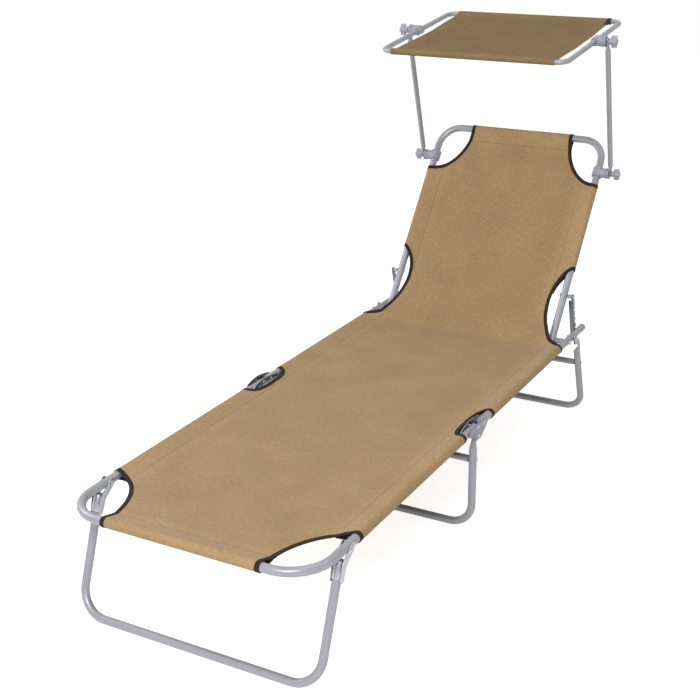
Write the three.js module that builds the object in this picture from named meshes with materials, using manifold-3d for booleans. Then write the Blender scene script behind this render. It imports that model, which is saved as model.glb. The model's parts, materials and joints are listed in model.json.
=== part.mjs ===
// Folding sun lounger with a tilting canopy: a bed of cloth on bent steel tube,
// three folding U legs, a reclining backrest and a sunshade on two clamped arms.
// Millimetres, +X to the sitter's left hand seen from the foot end, +Y to the head, +Z up.

import * as THREE from 'three';
import { mergeVertices } from 'three/addons/utils/BufferGeometryUtils.js';
import Module from 'manifold-3d';

const wasm = await Module();
wasm.setup();

// Tubes
const frameDiameter = 19;
const legDiameter = 18;
const braceDiameter = 16;
const armDiameter = 13.5;
const canopyDiameter = 12.7;

// Bed
const bedWidth = 580;
const footLength = 705;
const seatLength = 594;
const seatTail = 126;
const backLength = 572;
const bedHeight = 254.5;
const footCorner = 85;

// Middle hinge
const hingeRise = 5.5;
const hingeTubeOverrun = 6;
const hingeTubeGap = 20;
const seatRivetSetback = 31;
const seatRivetRise = 4;
const plateReach = 44;
const plateThickness = 1.5;

// Legs
const footLegTop = 113;
const footLegLean = 97.6;
const footLegPivotOffset = 22.5;
const footLegCorner = 60;
const middleLegDrop = 17.5;
const middleLegSetback = 4.5;
const middleLegOutset = 0.5;
const middleLegCorner = 55;
const rearLegSetback = 59;
const rearLegLean = 88;
const rearLegPivotOffset = 22.5;
const rearLegOutset = 5;
const rearLegCorner = 50;
const middleBraceHeight = 178;
const rearBraceHeight = 165;

// Backrest
const backInset = 39;
const backCorner = 60;
const backAngle = 52.2;
const backTubeOverrun = 12;
const adjusterPinReach = 124;
const adjusterStudReach = 105;
const adjusterLength = 148;
const adjusterWidth = 14;
const adjusterThickness = 4;
const adjusterInset = 16.5;
const adjusterAngle = -73.5;
const notchCount = 4;
const notchPitch = 19;
const notchDepth = 5.5;
const notchWidth = 8;
const notchStart = 44;

// Canopy
const armBaseDrop = 91.5;
const armLength = 369.5;
const armAngle = 105.5;
const armOutset = 36.1;
const armTabThickness = 5;
const armTabWidth = 17;
const armTabReach = 24;
const armTubeStart = 17;
const canopyOutset = 6;
const canopyFront = 216.5;
const canopyRear = 200.5;
const canopyCorner = 26;
const canopyTilt = 6.7;
const canopyOverlap = 4;

// Clamps and wing knobs
const clampDrumRadius = 13;
const clampCollarLength = 26;
const clampCollarWall = 4.5;
const clampRibRadius = 14.5;
const clampRibWidth = 3;
const clampRibPitch = 7;
const clampRibCount = 2;
const knobHubRadius = 8;
const knobHubLength = 6;
const knobWingReach = 15;
const knobWingWidth = 10;
const knobWingDepth = 15;
const knobStudRadius = 3;
const knobStudLength = 20;
const knobBossRise = 2;

// Fasteners
const rivetRadius = 2.5;
const rivetHeadRadius = 5;
const rivetHeadHeight = 2;
const boltRadius = 4;
const boltHeadRadius = 7;
const boltHeadHeight = 4;
const spacerRadius = 7.5;
const capThickness = 5;

// Foot leg brackets
const bracketWall = 2;
const bracketTop = 24;
const bracketLength = 28;
const bracketEarRadius = 9;
const bracketEarWaist = 7;

// Flattened tabs on the legs
const tabRadius = 6;
const middleTabThickness = 10;
const middleTabLength = 20;
const rearTabRadius = 9;
const rearTabWaist = 7.5;
const rearTabLength = 22;
const legClearance = 24;
const middleLegClearance = 14;
const braceInset = 4;

// Cloth
const clothThickness = 1.5;
const sleeveSeam = 36.5;
const canopySeam = 25;
const footCutAcross = 110;
const footCutAlong = 168;
const hingeCutAcross = 38;
const hingeCutAlong = 73;
const hingeCutCentre = 22;
const seatCutAcross = 78;
const seatCutAlong = 60;
const backCutAcross = 41;
const backCutStart = 95;
const backCutAlong = 100;
const topCutAcross = 103;
const topCutAlong = 130;
const middleClothGap = 6;
const backClothGap = 6;
const canopyClothInset = 28;

// Fits
const clearance = 0.3;
const boreClearance = 0.3;
const cutOverrun = 30;
const mergeTolerance = 0.0001;

// Counts
const frameSides = 16;
const legSides = 14;
const thinSides = 12;
const rivetSides = 10;
const boreSides = 10;
const drumSides = 16;
const sleeveSides = 32;
const bendSteps = 5;
const cutSteps = 6;

// Shares that set how round the cut-outs are: 2 is an ellipse
const ellipseShare = 2;
const hingeCutShare = 4;
const softCutShare = 1.1;

// Finishes
const steelFinish = { color: 0xa9abb4, roughness: 0.42, metalness: 0.75 };
const plateFinish = { color: 0xb4b8bf, roughness: 0.35, metalness: 0.85 };
const clothFinish = { color: 0xa58a63, roughness: 0.92, metalness: 0 };
const plasticFinish = { color: 0xaaacb6, roughness: 0.5, metalness: 0 };
const capFinish = { color: 0x9c9da3, roughness: 0.55, metalness: 0 };

// Derived sizes
const frameRadius = frameDiameter / 2;
const legRadius = legDiameter / 2;
const braceRadius = braceDiameter / 2;
const armRadius = armDiameter / 2;
const canopyRadius = canopyDiameter / 2;
const sideX = bedWidth / 2 - frameRadius;
const middleLegHalfWidth = sideX + middleLegOutset;
const rearLegHalfWidth = sideX + rearLegOutset;
const backHalfWidth = sideX - backInset;
const armHalfWidth = backHalfWidth + armOutset;
const canopyHalfWidth = backHalfWidth + canopyOutset;
const hingeY = footLength;
const backY = footLength + seatLength;
const tailY = backY + seatTail;
const rearLegTop = backY + rearLegSetback;
const armBaseReach = backLength - armBaseDrop;
const hingeZ = bedHeight + hingeRise;
const middlePivot = [hingeY + middleLegSetback, hingeZ - hingeRise - middleLegDrop];
const flatShare = Math.cos(Math.PI / legSides);
const legBarHeight = legRadius * flatShare;
const footLegPivot = [footLegTop + footLegPivotOffset, bedHeight];
const rearLegPivot = [rearLegTop - rearLegPivotOffset, bedHeight];
const outerFaceX = sideX + frameRadius + clearance;
const innerFaceX = sideX - frameRadius - clearance;
const armInnerX = armHalfWidth - armTabThickness / 2;
const armOuterX = armHalfWidth + armTabThickness / 2;
const adjusterX = sideX - adjusterInset;
const rad = THREE.MathUtils.degToRad;
const sides = [['left', -1], ['right', 1]];

// Points (y, z) on the side view of the backrest, arms and canopy
function along(origin, angle, distance, lift = 0) {
  const c = Math.cos(rad(angle));
  const s = Math.sin(rad(angle));
  return [origin[0] + c * distance - s * lift, origin[1] + s * distance + c * lift];
}

const backPivot = [backY, bedHeight];
const armPivot = along(backPivot, backAngle, armBaseReach);
const canopyPivot = along(armPivot, armAngle, armLength);
const adjusterPin = along(backPivot, backAngle, adjusterPinReach);
const adjusterStud = [backY + adjusterStudReach, bedHeight];

// Solids

function solidOf(geometry) {
  geometry.deleteAttribute('normal');
  geometry.deleteAttribute('uv');
  const merged = mergeVertices(geometry, mergeTolerance);
  const index = merged.index.array;
  const kept = [];
  for (let i = 0; i < index.length; i += 3) {
    const [a, b, c] = [index[i], index[i + 1], index[i + 2]];
    if (a !== b && b !== c && c !== a) {
      kept.push(a, b, c);
    }
  }
  return new wasm.Manifold(new wasm.Mesh({
    numProp: 3,
    vertProperties: new Float32Array(merged.attributes.position.array),
    triVerts: new Uint32Array(kept),
  }));
}

function geometryOf(solid) {
  const mesh = solid.getMesh();
  const geometry = new THREE.BufferGeometry();
  geometry.setAttribute('position', new THREE.BufferAttribute(mesh.vertProperties, mesh.numProp));
  geometry.setIndex(new THREE.BufferAttribute(mesh.triVerts, 1));
  geometry.computeVertexNormals();
  return geometry;
}

function join(...solids) {
  return solids.reduce((whole, solid) => whole.add(solid));
}

function cut(solid, ...tools) {
  return tools.reduce((whole, tool) => whole.subtract(tool), solid);
}

// A path through chosen stations in one plane, so that only the bends have many
class Route extends THREE.Curve {
  constructor(stations, planeNormal) {
    super();
    this.stations = stations;
    this.planeNormal = planeNormal;
  }

  getSpacedPoints() {
    return this.stations;
  }

  computeFrenetFrames() {
    const frames = { tangents: [], normals: [], binormals: [] };
    const last = this.stations.length - 1;
    for (let i = 0; i <= last; i += 1) {
      const before = this.stations[Math.max(i - 1, 0)];
      const here = this.stations[i];
      const after = this.stations[Math.min(i + 1, last)];
      const tangent = new THREE.Vector3();
      if (i > 0) {
        tangent.add(here.clone().sub(before).normalize());
      }
      if (i < last) {
        tangent.add(after.clone().sub(here).normalize());
      }
      tangent.normalize();
      const run = (i > 0 ? here.clone().sub(before) : after.clone().sub(here)).normalize();
      const mitre = 1 / tangent.dot(run);
      frames.tangents.push(tangent);
      frames.normals.push(this.planeNormal.clone().cross(tangent).multiplyScalar(mitre));
      frames.binormals.push(this.planeNormal.clone());
    }
    return frames;
  }
}

// The stations of a line with round corners
function rounded(points, radius) {
  const stations = [points[0].clone()];
  for (let i = 1; i < points.length - 1; i += 1) {
    const back = points[i - 1].clone().sub(points[i]).normalize();
    const ahead = points[i + 1].clone().sub(points[i]).normalize();
    const half = back.angleTo(ahead) / 2;
    const reach = radius / Math.tan(half);
    const middle = back.clone().add(ahead).normalize().multiplyScalar(radius / Math.sin(half));
    const centre = points[i].clone().add(middle);
    const from = points[i].clone().addScaledVector(back, reach).sub(centre);
    const to = points[i].clone().addScaledVector(ahead, reach).sub(centre);
    const sweep = from.angleTo(to);
    const axis = from.clone().cross(to).normalize();
    for (let k = 0; k <= bendSteps; k += 1) {
      stations.push(from.clone().applyAxisAngle(axis, sweep * k / bendSteps).add(centre));
    }
  }
  stations.push(points[points.length - 1].clone());
  return stations;
}

function circleShape(radius, count, turn = 0) {
  const points = [];
  for (let i = 0; i < count; i += 1) {
    const a = turn + (2 * Math.PI * (i + 1 / 2)) / count;
    points.push(new THREE.Vector2(radius * Math.cos(a), radius * Math.sin(a)));
  }
  return new THREE.Shape(points);
}

function bentTube(points, radius, bend, planeNormal, turn = 0, count = frameSides) {
  const stations = bend > 0 ? rounded(points, bend) : points;
  return solidOf(new THREE.ExtrudeGeometry(circleShape(radius, count, turn), {
    steps: stations.length - 1,
    extrudePath: new Route(stations, planeNormal),
  }));
}

function rod(from, to, radius, count = frameSides) {
  const axis = to.clone().sub(from);
  const geometry = new THREE.CylinderGeometry(radius, radius, axis.length(), count);
  geometry.applyQuaternion(new THREE.Quaternion().setFromUnitVectors(
    new THREE.Vector3(0, 1, 0), axis.clone().normalize(),
  ));
  const middle = from.clone().add(to).multiplyScalar(1 / 2);
  geometry.translate(middle.x, middle.y, middle.z);
  return solidOf(geometry);
}

function crossRod(x0, x1, centre, radius, count = boreSides) {
  const from = new THREE.Vector3(x0, ...centre);
  return rod(from, new THREE.Vector3(x1, ...centre), radius, count);
}

const sideBasis = new THREE.Matrix4().makeBasis(
  new THREE.Vector3(0, 1, 0), new THREE.Vector3(0, 0, 1), new THREE.Vector3(1, 0, 0),
);

// A flat plate whose outline is seen from the side, between two planes across the bed
function sidePlate(shape, x0, x1) {
  const low = Math.min(x0, x1);
  const geometry = new THREE.ExtrudeGeometry(shape, {
    depth: Math.abs(x1 - x0), bevelEnabled: false, curveSegments: bendSteps,
  });
  geometry.applyMatrix4(sideBasis);
  geometry.translate(low, 0, 0);
  return solidOf(geometry);
}

// The outline round two circles
function linkShape(a, radiusA, b, radiusB, count = frameSides) {
  const points = [];
  for (let i = 0; i < count; i += 1) {
    const t = (2 * Math.PI * i) / count;
    const u = [Math.cos(t), Math.sin(t)];
    const reachA = a[0] * u[0] + a[1] * u[1] + radiusA;
    const reachB = b[0] * u[0] + b[1] * u[1] + radiusB;
    const [c, r] = reachA > reachB ? [a, radiusA] : [b, radiusB];
    points.push(new THREE.Vector2(c[0] + r * u[0], c[1] + r * u[1]));
  }
  return new THREE.Shape(points);
}

function linkPlate(a, radiusA, b, radiusB, x0, x1) {
  return sidePlate(linkShape(a, radiusA, b, radiusB), x0, x1);
}

// A turned piece whose axis lies across the bed; the profile is (radius, distance along X)
function turned(profile, x, centre, direction = 1, count = rivetSides) {
  const points = profile.map(([r, d]) => new THREE.Vector2(r, d));
  const geometry = new THREE.LatheGeometry(points, count);
  geometry.rotateZ(-Math.PI / 2 * direction);
  geometry.translate(x, centre[0], centre[1]);
  return solidOf(geometry);
}

function rivet(x0, x1, centre, radius = rivetRadius, head = rivetHeadRadius, rise = rivetHeadHeight) {
  const [low, high] = [Math.min(x0, x1), Math.max(x0, x1)];
  const grip = high - low;
  const crown = head / 2;
  return turned([
    [0, -rise], [crown, -rise], [head, 0], [radius, 0],
    [radius, grip], [head, grip], [crown, grip + rise], [0, grip + rise],
  ], low, centre);
}

// The part, as a tree of named pieces

const lounger = new THREE.Group();

function add(name, solid, finish) {
  const mesh = new THREE.Mesh(geometryOf(solid), new THREE.MeshStandardMaterial(finish));
  mesh.name = name;
  lounger.add(mesh);
  return mesh;
}

const across = new THREE.Vector3(1, 0, 0);
const upward = new THREE.Vector3(0, 0, 1);

// Foot section

function footPath() {
  const end = hingeY + hingeTubeOverrun;
  return [
    new THREE.Vector3(-sideX, end, bedHeight),
    new THREE.Vector3(-sideX, 0, bedHeight),
    new THREE.Vector3(sideX, 0, bedHeight),
    new THREE.Vector3(sideX, end, bedHeight),
  ];
}

function makeFootFrame() {
  const frame = bentTube(footPath(), frameRadius, footCorner, upward);
  const reach = sideX + frameDiameter;
  const tools = [
    crossRod(-reach, reach, [hingeY, hingeZ], rivetRadius + boreClearance),
    crossRod(-reach, reach, footLegPivot, rivetRadius + boreClearance),
  ];
  add('foot_frame', cut(frame, ...tools), steelFinish);
}

// A U leg: two posts that lean along Y and a bar on the ground
function legPath(halfWidth, topY, lean, start) {
  const rise = bedHeight - legBarHeight;
  const share = start / Math.hypot(lean, rise);
  const top = [topY + lean * share, bedHeight - rise * share];
  return [
    new THREE.Vector3(-halfWidth, ...top),
    new THREE.Vector3(-halfWidth, topY + lean, legBarHeight),
    new THREE.Vector3(halfWidth, topY + lean, legBarHeight),
    new THREE.Vector3(halfWidth, ...top),
  ];
}

// The section of a leg is turned so that one flat of its bar lies on the ground
function legTube(halfWidth, topY, lean, start, corner) {
  const rise = bedHeight - legBarHeight;
  const normal = new THREE.Vector3(0, rise, lean).normalize();
  const turn = -Math.atan2(lean, rise);
  const path = legPath(halfWidth, topY, lean, start);
  return bentTube(path, legRadius, corner, normal, turn, legSides);
}

function legPoint(topY, lean, distance) {
  const rise = bedHeight - legBarHeight;
  const share = distance / Math.hypot(lean, rise);
  return [topY + lean * share, bedHeight - rise * share];
}

function makeFootLeg() {
  add('foot_leg', legTube(sideX, footLegTop, -footLegLean, bracketTop, footLegCorner), steelFinish);
}

// Half a sleeve round the leg's top, with an ear that rises beside the frame tube
function bracketHalf(side, outward) {
  const outer = legRadius + clearance + bracketWall;
  const top = legPoint(footLegTop, -footLegLean, bracketTop + clearance);
  const foot = legPoint(footLegTop, -footLegLean, bracketTop + bracketLength);
  const from = new THREE.Vector3(side * sideX, ...top);
  const to = new THREE.Vector3(side * sideX, ...foot);
  const over = to.clone().sub(from).normalize().multiplyScalar(cutOverrun);
  const sleeve = cut(
    rod(from, to, outer),
    rod(from.clone().sub(over), to.clone().add(over), legRadius + clearance),
  );
  const seam = side * sideX + outward * clearance;
  const far = side * sideX + outward * bedWidth / 2;
  const low = Math.min(seam, far);
  const half = new THREE.BoxGeometry(Math.abs(far - seam), bedWidth, bedWidth);
  half.translate(low + Math.abs(far - seam) / 2, top[0], top[1]);
  const wallX = side * sideX + outward * outer;
  const innerX = side * sideX + outward * (frameRadius + clearance);
  const ear = join(
    linkPlate(footLegPivot, bracketEarRadius, top, bracketEarRadius, innerX, wallX),
    linkPlate(top, bracketEarRadius, foot, bracketEarWaist, innerX, wallX),
  );
  const hole = crossRod(
    innerX - outward * cutOverrun, wallX + outward * cutOverrun,
    footLegPivot, rivetRadius + boreClearance,
  );
  const bore = rod(from.clone().sub(over), to.clone().add(over), legRadius + clearance);
  return cut(join(sleeve.intersect(solidOf(half)), ear), hole, bore);
}

function makeFootBrackets() {
  for (const [name, side] of sides) {
    add(`foot_bracket_outer_${name}`, bracketHalf(side, side), plateFinish);
    add(`foot_bracket_inner_${name}`, bracketHalf(side, -side), plateFinish);
    const grip = legRadius + bracketWall + clearance * 2;
    const pin = rivet(side * sideX - grip, side * sideX + grip, footLegPivot);
    add(`foot_leg_pivot_${name}`, pin, plateFinish);
  }
}

// Middle hinge

function hingePlateShape() {
  const top = bedHeight + frameRadius;
  const low = middlePivot[1] - tabRadius - plateThickness * 2;
  const neck = tabRadius * 2;
  const shape = new THREE.Shape();
  shape.moveTo(hingeY - plateReach, top - frameRadius / 2);
  shape.lineTo(hingeY - plateReach + frameRadius / 2, top);
  shape.lineTo(seatRivet()[0] + neck, top);
  shape.quadraticCurveTo(
    seatRivet()[0] + neck + frameRadius, top - frameRadius / 2,
    seatRivet()[0] + neck - tabRadius / 2, bedHeight - frameRadius,
  );
  shape.quadraticCurveTo(
    middlePivot[0] + neck * 2, low + tabRadius / 2, middlePivot[0] + neck, low,
  );
  shape.lineTo(middlePivot[0] - neck, low);
  shape.quadraticCurveTo(
    middlePivot[0] - neck - tabRadius / 2, bedHeight - frameRadius,
    hingeY - plateReach, bedHeight,
  );
  return shape;
}

function seatRivet() {
  return [hingeY + seatRivetSetback, bedHeight + seatRivetRise];
}

function makeHinges() {
  for (const [name, side] of sides) {
    const outer = side * outerFaceX;
    const inner = side * innerFaceX;
    const holes = [[hingeY, hingeZ], seatRivet(), middlePivot].map((centre) => crossRod(
      -bedWidth, bedWidth, centre, rivetRadius + boreClearance,
    ));
    const outerPlate = sidePlate(hingePlateShape(), outer, outer + side * plateThickness);
    const innerPlate = sidePlate(hingePlateShape(), inner, inner - side * plateThickness);
    add(`hinge_plate_outer_${name}`, cut(outerPlate, ...holes), plateFinish);
    add(`hinge_plate_inner_${name}`, cut(innerPlate, ...holes), plateFinish);
    const from = inner - side * (plateThickness + clearance);
    const to = outer + side * (plateThickness + clearance);
    add(`foot_hinge_pin_${name}`, rivet(from, to, [hingeY, hingeZ]), plateFinish);
    add(`seat_rivet_${name}`, rivet(from, to, seatRivet()), plateFinish);
    add(`middle_leg_pivot_${name}`, rivet(from, to, middlePivot), plateFinish);
  }
}

// Seat section

function makeSeatTubes() {
  const from = hingeY + hingeTubeGap;
  const to = tailY - capThickness - clearance;
  for (const [name, side] of sides) {
    const tube = rod(
      new THREE.Vector3(side * sideX, from, bedHeight),
      new THREE.Vector3(side * sideX, to, bedHeight),
      frameRadius,
    );
    const holes = [
      crossRod(-bedWidth, bedWidth, seatRivet(), rivetRadius + boreClearance),
      crossRod(-bedWidth, bedWidth, rearLegPivot, rivetRadius + boreClearance),
      crossRod(-bedWidth, bedWidth, backPivot, boltRadius + boreClearance),
      crossRod(-bedWidth, bedWidth, adjusterStud, rivetRadius + boreClearance),
    ];
    add(`seat_tube_${name}`, cut(tube, ...holes), steelFinish);
    const cap = turned([
      [0, 0], [frameRadius, 0], [frameRadius, capThickness / 2],
      [frameRadius / 2, capThickness], [0, capThickness],
    ], 0, [0, 0], 1, frameSides);
    const seated = add(`tube_cap_${name}`, cap, capFinish);
    seated.rotation.z = Math.PI / 2;
    seated.position.set(side * sideX, to + clearance, bedHeight);
  }
}

// Middle leg: a flattened top between the hinge plates, a brace under it
function makeMiddleLeg() {
  const top = middleLegClearance + middleLegDrop;
  const y = middlePivot[0] - middleLegSetback;
  const tube = legTube(middleLegHalfWidth, y, 0, top, middleLegCorner);
  const parts = sides.map(([, side]) => {
    const x = side * middleLegHalfWidth;
    const half = middleTabThickness / 2;
    const foot = [y, bedHeight - top - middleTabLength];
    return linkPlate(middlePivot, tabRadius, foot, tabRadius, x - half, x + half);
  });
  const tools = [
    crossRod(-bedWidth, bedWidth, middlePivot, rivetRadius + boreClearance),
    crossRod(-bedWidth, bedWidth, [y, middleBraceHeight], rivetRadius + boreClearance),
  ];
  add('middle_leg', cut(join(tube, ...parts), ...tools), steelFinish);
  addBrace('middle', middleLegHalfWidth, [y, middleBraceHeight]);
}

// Rear leg: a tab on the outer side of each post, riveted to the seat tube
function makeRearLeg() {
  const tube = legTube(rearLegHalfWidth, rearLegTop, rearLegLean, legClearance, rearLegCorner);
  const top = legPoint(rearLegTop, rearLegLean, legClearance);
  const foot = legPoint(rearLegTop, rearLegLean, legClearance + rearTabLength);
  const tabs = [];
  for (const [, side] of sides) {
    const inner = side * outerFaceX;
    const outer = side * (rearLegHalfWidth + legRadius);
    tabs.push(linkPlate(rearLegPivot, rearTabRadius, top, rearTabWaist, inner, outer));
    tabs.push(linkPlate(top, rearTabWaist, foot, rearTabWaist, inner, outer));
  }
  const bracePoint = legPoint(rearLegTop, rearLegLean, rearBraceReach());
  const tools = [
    crossRod(-bedWidth, bedWidth, rearLegPivot, rivetRadius + boreClearance),
    crossRod(-bedWidth, bedWidth, bracePoint, rivetRadius + boreClearance),
  ];
  add('rear_leg', cut(join(tube, ...tabs), ...tools), steelFinish);
  addBrace('rear', rearLegHalfWidth, bracePoint);
  for (const [name, side] of sides) {
    const from = side * (sideX - frameRadius - clearance);
    const to = side * (rearLegHalfWidth + legRadius + clearance);
    add(`rear_leg_pivot_${name}`, rivet(from, to, rearLegPivot), plateFinish);
  }
}

function rearBraceReach() {
  const rise = bedHeight - legBarHeight;
  return (bedHeight - rearBraceHeight) * Math.hypot(rearLegLean, rise) / rise;
}

// A straight brace between two posts, with a rivet through each post into its end
function addBrace(name, halfWidth, centre) {
  const end = halfWidth - legRadius - clearance;
  const depth = legRadius + braceInset;
  const bar = crossRod(-end, end, centre, braceRadius, legSides);
  const socket = sides.map(([, side]) => crossRod(
    side * (end - depth - cutOverrun), side * (end + cutOverrun), centre, rivetRadius + boreClearance,
  ));
  add(`${name}_brace`, cut(bar, ...socket), steelFinish);
  for (const [label, side] of sides) {
    const outer = side * (halfWidth + legRadius + clearance);
    const inner = side * (end - depth);
    const length = Math.abs(outer - inner);
    const pin = turned([
      [0, 0], [rivetRadius, 0], [rivetRadius, length], [rivetHeadRadius, length],
      [rivetHeadRadius / 2, length + rivetHeadHeight], [0, length + rivetHeadHeight],
    ], inner, centre, side);
    add(`${name}_brace_rivet_${label}`, pin, plateFinish);
  }
}

// Backrest, its pivots and its notched adjusters

function backPoint(distance, lift = 0) {
  return along(backPivot, backAngle, distance, lift);
}

const backNormal = new THREE.Vector3(0, -Math.sin(rad(backAngle)), Math.cos(rad(backAngle)));

function backPath(start) {
  const low = backPoint(start);
  const high = backPoint(backLength);
  return [
    new THREE.Vector3(backHalfWidth, ...low),
    new THREE.Vector3(backHalfWidth, ...high),
    new THREE.Vector3(-backHalfWidth, ...high),
    new THREE.Vector3(-backHalfWidth, ...low),
  ];
}

function makeBackrest() {
  const frame = bentTube(backPath(-backTubeOverrun), frameRadius, backCorner, backNormal);
  const tools = [
    crossRod(-bedWidth, bedWidth, backPivot, boltRadius + boreClearance),
    crossRod(-bedWidth, bedWidth, adjusterPin, rivetRadius + boreClearance),
  ];
  add('backrest_frame', cut(frame, ...tools), steelFinish);
  for (const [name, side] of sides) {
    const from = side * (backHalfWidth - frameRadius - clearance);
    const to = side * (sideX + frameRadius + clearance);
    const bolt = rivet(from, to, backPivot, boltRadius, boltHeadRadius, boltHeadHeight);
    add(`backrest_pivot_${name}`, bolt, plateFinish);
    const inner = side * (backHalfWidth + frameRadius + clearance);
    const outer = side * (sideX - frameRadius - clearance);
    const spacer = cut(
      crossRod(inner, outer, backPivot, spacerRadius, frameSides),
      crossRod(-bedWidth, bedWidth, backPivot, boltRadius + boreClearance),
    );
    add(`backrest_spacer_${name}`, spacer, plasticFinish);
  }
}

// The bar hangs from the backrest and drops its notches over the stud on the seat tube
function adjusterSolid(side) {
  const foot = along(adjusterPin, adjusterAngle, adjusterLength);
  const x0 = side * adjusterX;
  const x1 = x0 + side * adjusterThickness;
  const half = adjusterWidth / 2;
  const bar = linkPlate(adjusterPin, half, foot, half, x0, x1);
  const tools = [crossRod(-bedWidth, bedWidth, adjusterPin, rivetRadius + boreClearance)];
  for (let i = 0; i < notchCount; i += 1) {
    const reach = notchStart + notchPitch * i;
    const inner = along(adjusterPin, adjusterAngle, reach, half - notchDepth + notchWidth / 2);
    const outer = along(adjusterPin, adjusterAngle, reach + notchWidth / 2, half + notchWidth);
    tools.push(linkPlate(
      inner, notchWidth / 2, outer, notchWidth / 2, x0 - side * cutOverrun, x1 + side * cutOverrun,
    ));
  }
  return cut(bar, ...tools);
}

function makeAdjusters() {
  for (const [name, side] of sides) {
    add(`adjuster_bar_${name}`, adjusterSolid(side), plateFinish);
    const from = side * (backHalfWidth - frameRadius - clearance);
    const to = side * (adjusterX + adjusterThickness + clearance);
    const pin = rivet(from, to, adjusterPin, rivetRadius, rivetHeadRadius, rivetHeadHeight);
    const collarFrom = side * (backHalfWidth + frameRadius + clearance);
    const collarTo = side * (adjusterX - clearance);
    const collar = crossRod(collarFrom, collarTo, adjusterPin, rivetHeadRadius);
    add(`adjuster_pin_${name}`, join(pin, collar), plateFinish);
    const studInner = side * (adjusterX + adjusterThickness + clearance);
    const studOuter = side * (sideX + frameRadius + clearance);
    const length = Math.abs(studOuter - studInner);
    const stud = turned([
      [0, 0], [rivetRadius, 0], [rivetRadius, length], [rivetHeadRadius, length],
      [rivetHeadRadius / 2, length + rivetHeadHeight], [0, length + rivetHeadHeight],
    ], studInner, adjusterStud, side);
    add(`adjuster_stud_${name}`, stud, plateFinish);
  }
}

// Canopy: a loop of tube, two arms, four swivel clamps and their wing knobs

function canopyPoint(distance, lift = 0) {
  return along(canopyPivot, canopyTilt, distance, lift);
}

function canopyHalf(end, seam) {
  const normal = new THREE.Vector3(0, -Math.sin(rad(canopyTilt)), Math.cos(rad(canopyTilt)));
  const turn = Math.sign(end);
  const points = [[1, seam], [1, end], [-1, end], [-1, seam]].map(([s, d]) => new THREE.Vector3(
    turn * s * canopyHalfWidth, ...canopyPoint(d),
  ));
  return bentTube(points, canopyRadius, canopyCorner, normal, 0, thinSides);
}

function makeCanopyFrame() {
  const loop = join(
    canopyHalf(canopyRear, -canopyOverlap), canopyHalf(-canopyFront, canopyOverlap),
  );
  add('canopy_frame', loop, steelFinish);
}

function makeArms() {
  for (const [name, side] of sides) {
    const x = side * armHalfWidth;
    const low = along(armPivot, armAngle, armTubeStart);
    const high = along(armPivot, armAngle, armLength - armTubeStart);
    const tube = rod(new THREE.Vector3(x, ...low), new THREE.Vector3(x, ...high), armRadius, thinSides);
    const x0 = side * armInnerX;
    const x1 = side * armOuterX;
    const half = armTabWidth / 2;
    const lowTab = along(armPivot, armAngle, armTabReach);
    const highTab = along(armPivot, armAngle, armLength - armTabReach);
    const arm = cut(
      join(
        tube,
        linkPlate(armPivot, half, lowTab, half, x0, x1),
        linkPlate(canopyPivot, half, highTab, half, x0, x1),
      ),
      crossRod(-bedWidth, bedWidth, armPivot, knobStudRadius + boreClearance),
      crossRod(-bedWidth, bedWidth, canopyPivot, knobStudRadius + boreClearance),
    );
    add(`canopy_arm_${name}`, arm, steelFinish);
  }
}

// A collar on the tube and a ribbed drum that the arm turns against
function clampSolid(side, tubeX, tubeRadius, centre, angle) {
  const bore = tubeRadius + clearance;
  const half = clampCollarLength / 2;
  const x = side * tubeX;
  const from = new THREE.Vector3(x, ...along(centre, angle, -half));
  const to = new THREE.Vector3(x, ...along(centre, angle, half));
  const face = side * (armInnerX - clearance);
  const parts = [
    rod(from, to, bore + clampCollarWall, drumSides),
    crossRod(x, face, centre, clampDrumRadius, drumSides),
  ];
  for (let i = 0; i < clampRibCount; i += 1) {
    const outer = face - side * clampRibPitch * i;
    parts.push(crossRod(outer - side * clampRibWidth, outer, centre, clampRibRadius, drumSides));
  }
  const farFrom = new THREE.Vector3(x, ...along(centre, angle, -half - cutOverrun));
  const farTo = new THREE.Vector3(x, ...along(centre, angle, half + cutOverrun));
  const depth = side * (armOuterX + clearance - knobStudLength - clearance);
  return cut(
    join(...parts),
    rod(farFrom, farTo, bore),
    crossRod(depth, face + side * cutOverrun, centre, knobStudRadius + boreClearance),
  );
}

function knobSolid(side, centre) {
  const start = armOuterX + clearance;
  const wingStart = start + knobHubLength;
  const tip = start - knobStudLength;
  const stud = crossRod(side * tip, side * (start + clearance), centre, knobStudRadius);
  const hubEnd = side * (wingStart + clearance);
  const hub = crossRod(side * start, hubEnd, centre, knobHubRadius, frameSides);
  const half = knobWingWidth / 2;
  const reach = knobWingReach - half;
  const up = [centre[0], centre[1] + reach];
  const down = [centre[0], centre[1] - reach];
  const wingEnd = wingStart + knobWingDepth;
  const wing = linkPlate(up, half, down, half, side * wingStart, side * wingEnd);
  const boss = crossRod(
    side * wingStart, side * (wingEnd + knobBossRise), centre, knobHubRadius, frameSides,
  );
  return join(stud, hub, wing, boss);
}

function makeClamps() {
  for (const [name, side] of sides) {
    const lower = clampSolid(side, backHalfWidth, frameRadius, armPivot, backAngle);
    const upper = clampSolid(side, canopyHalfWidth, canopyRadius, canopyPivot, canopyTilt);
    add(`lower_clamp_${name}`, lower, plasticFinish);
    add(`upper_clamp_${name}`, upper, plasticFinish);
    add(`lower_knob_${name}`, knobSolid(side, armPivot), plasticFinish);
    add(`upper_knob_${name}`, knobSolid(side, canopyPivot), plasticFinish);
  }
}

// Cloth: a sheet in the tubes' centre plane, with a sleeve round each tube that closes on the
// sheet at a seam. Each cloth is drawn flat, then turned to its own slope.

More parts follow.
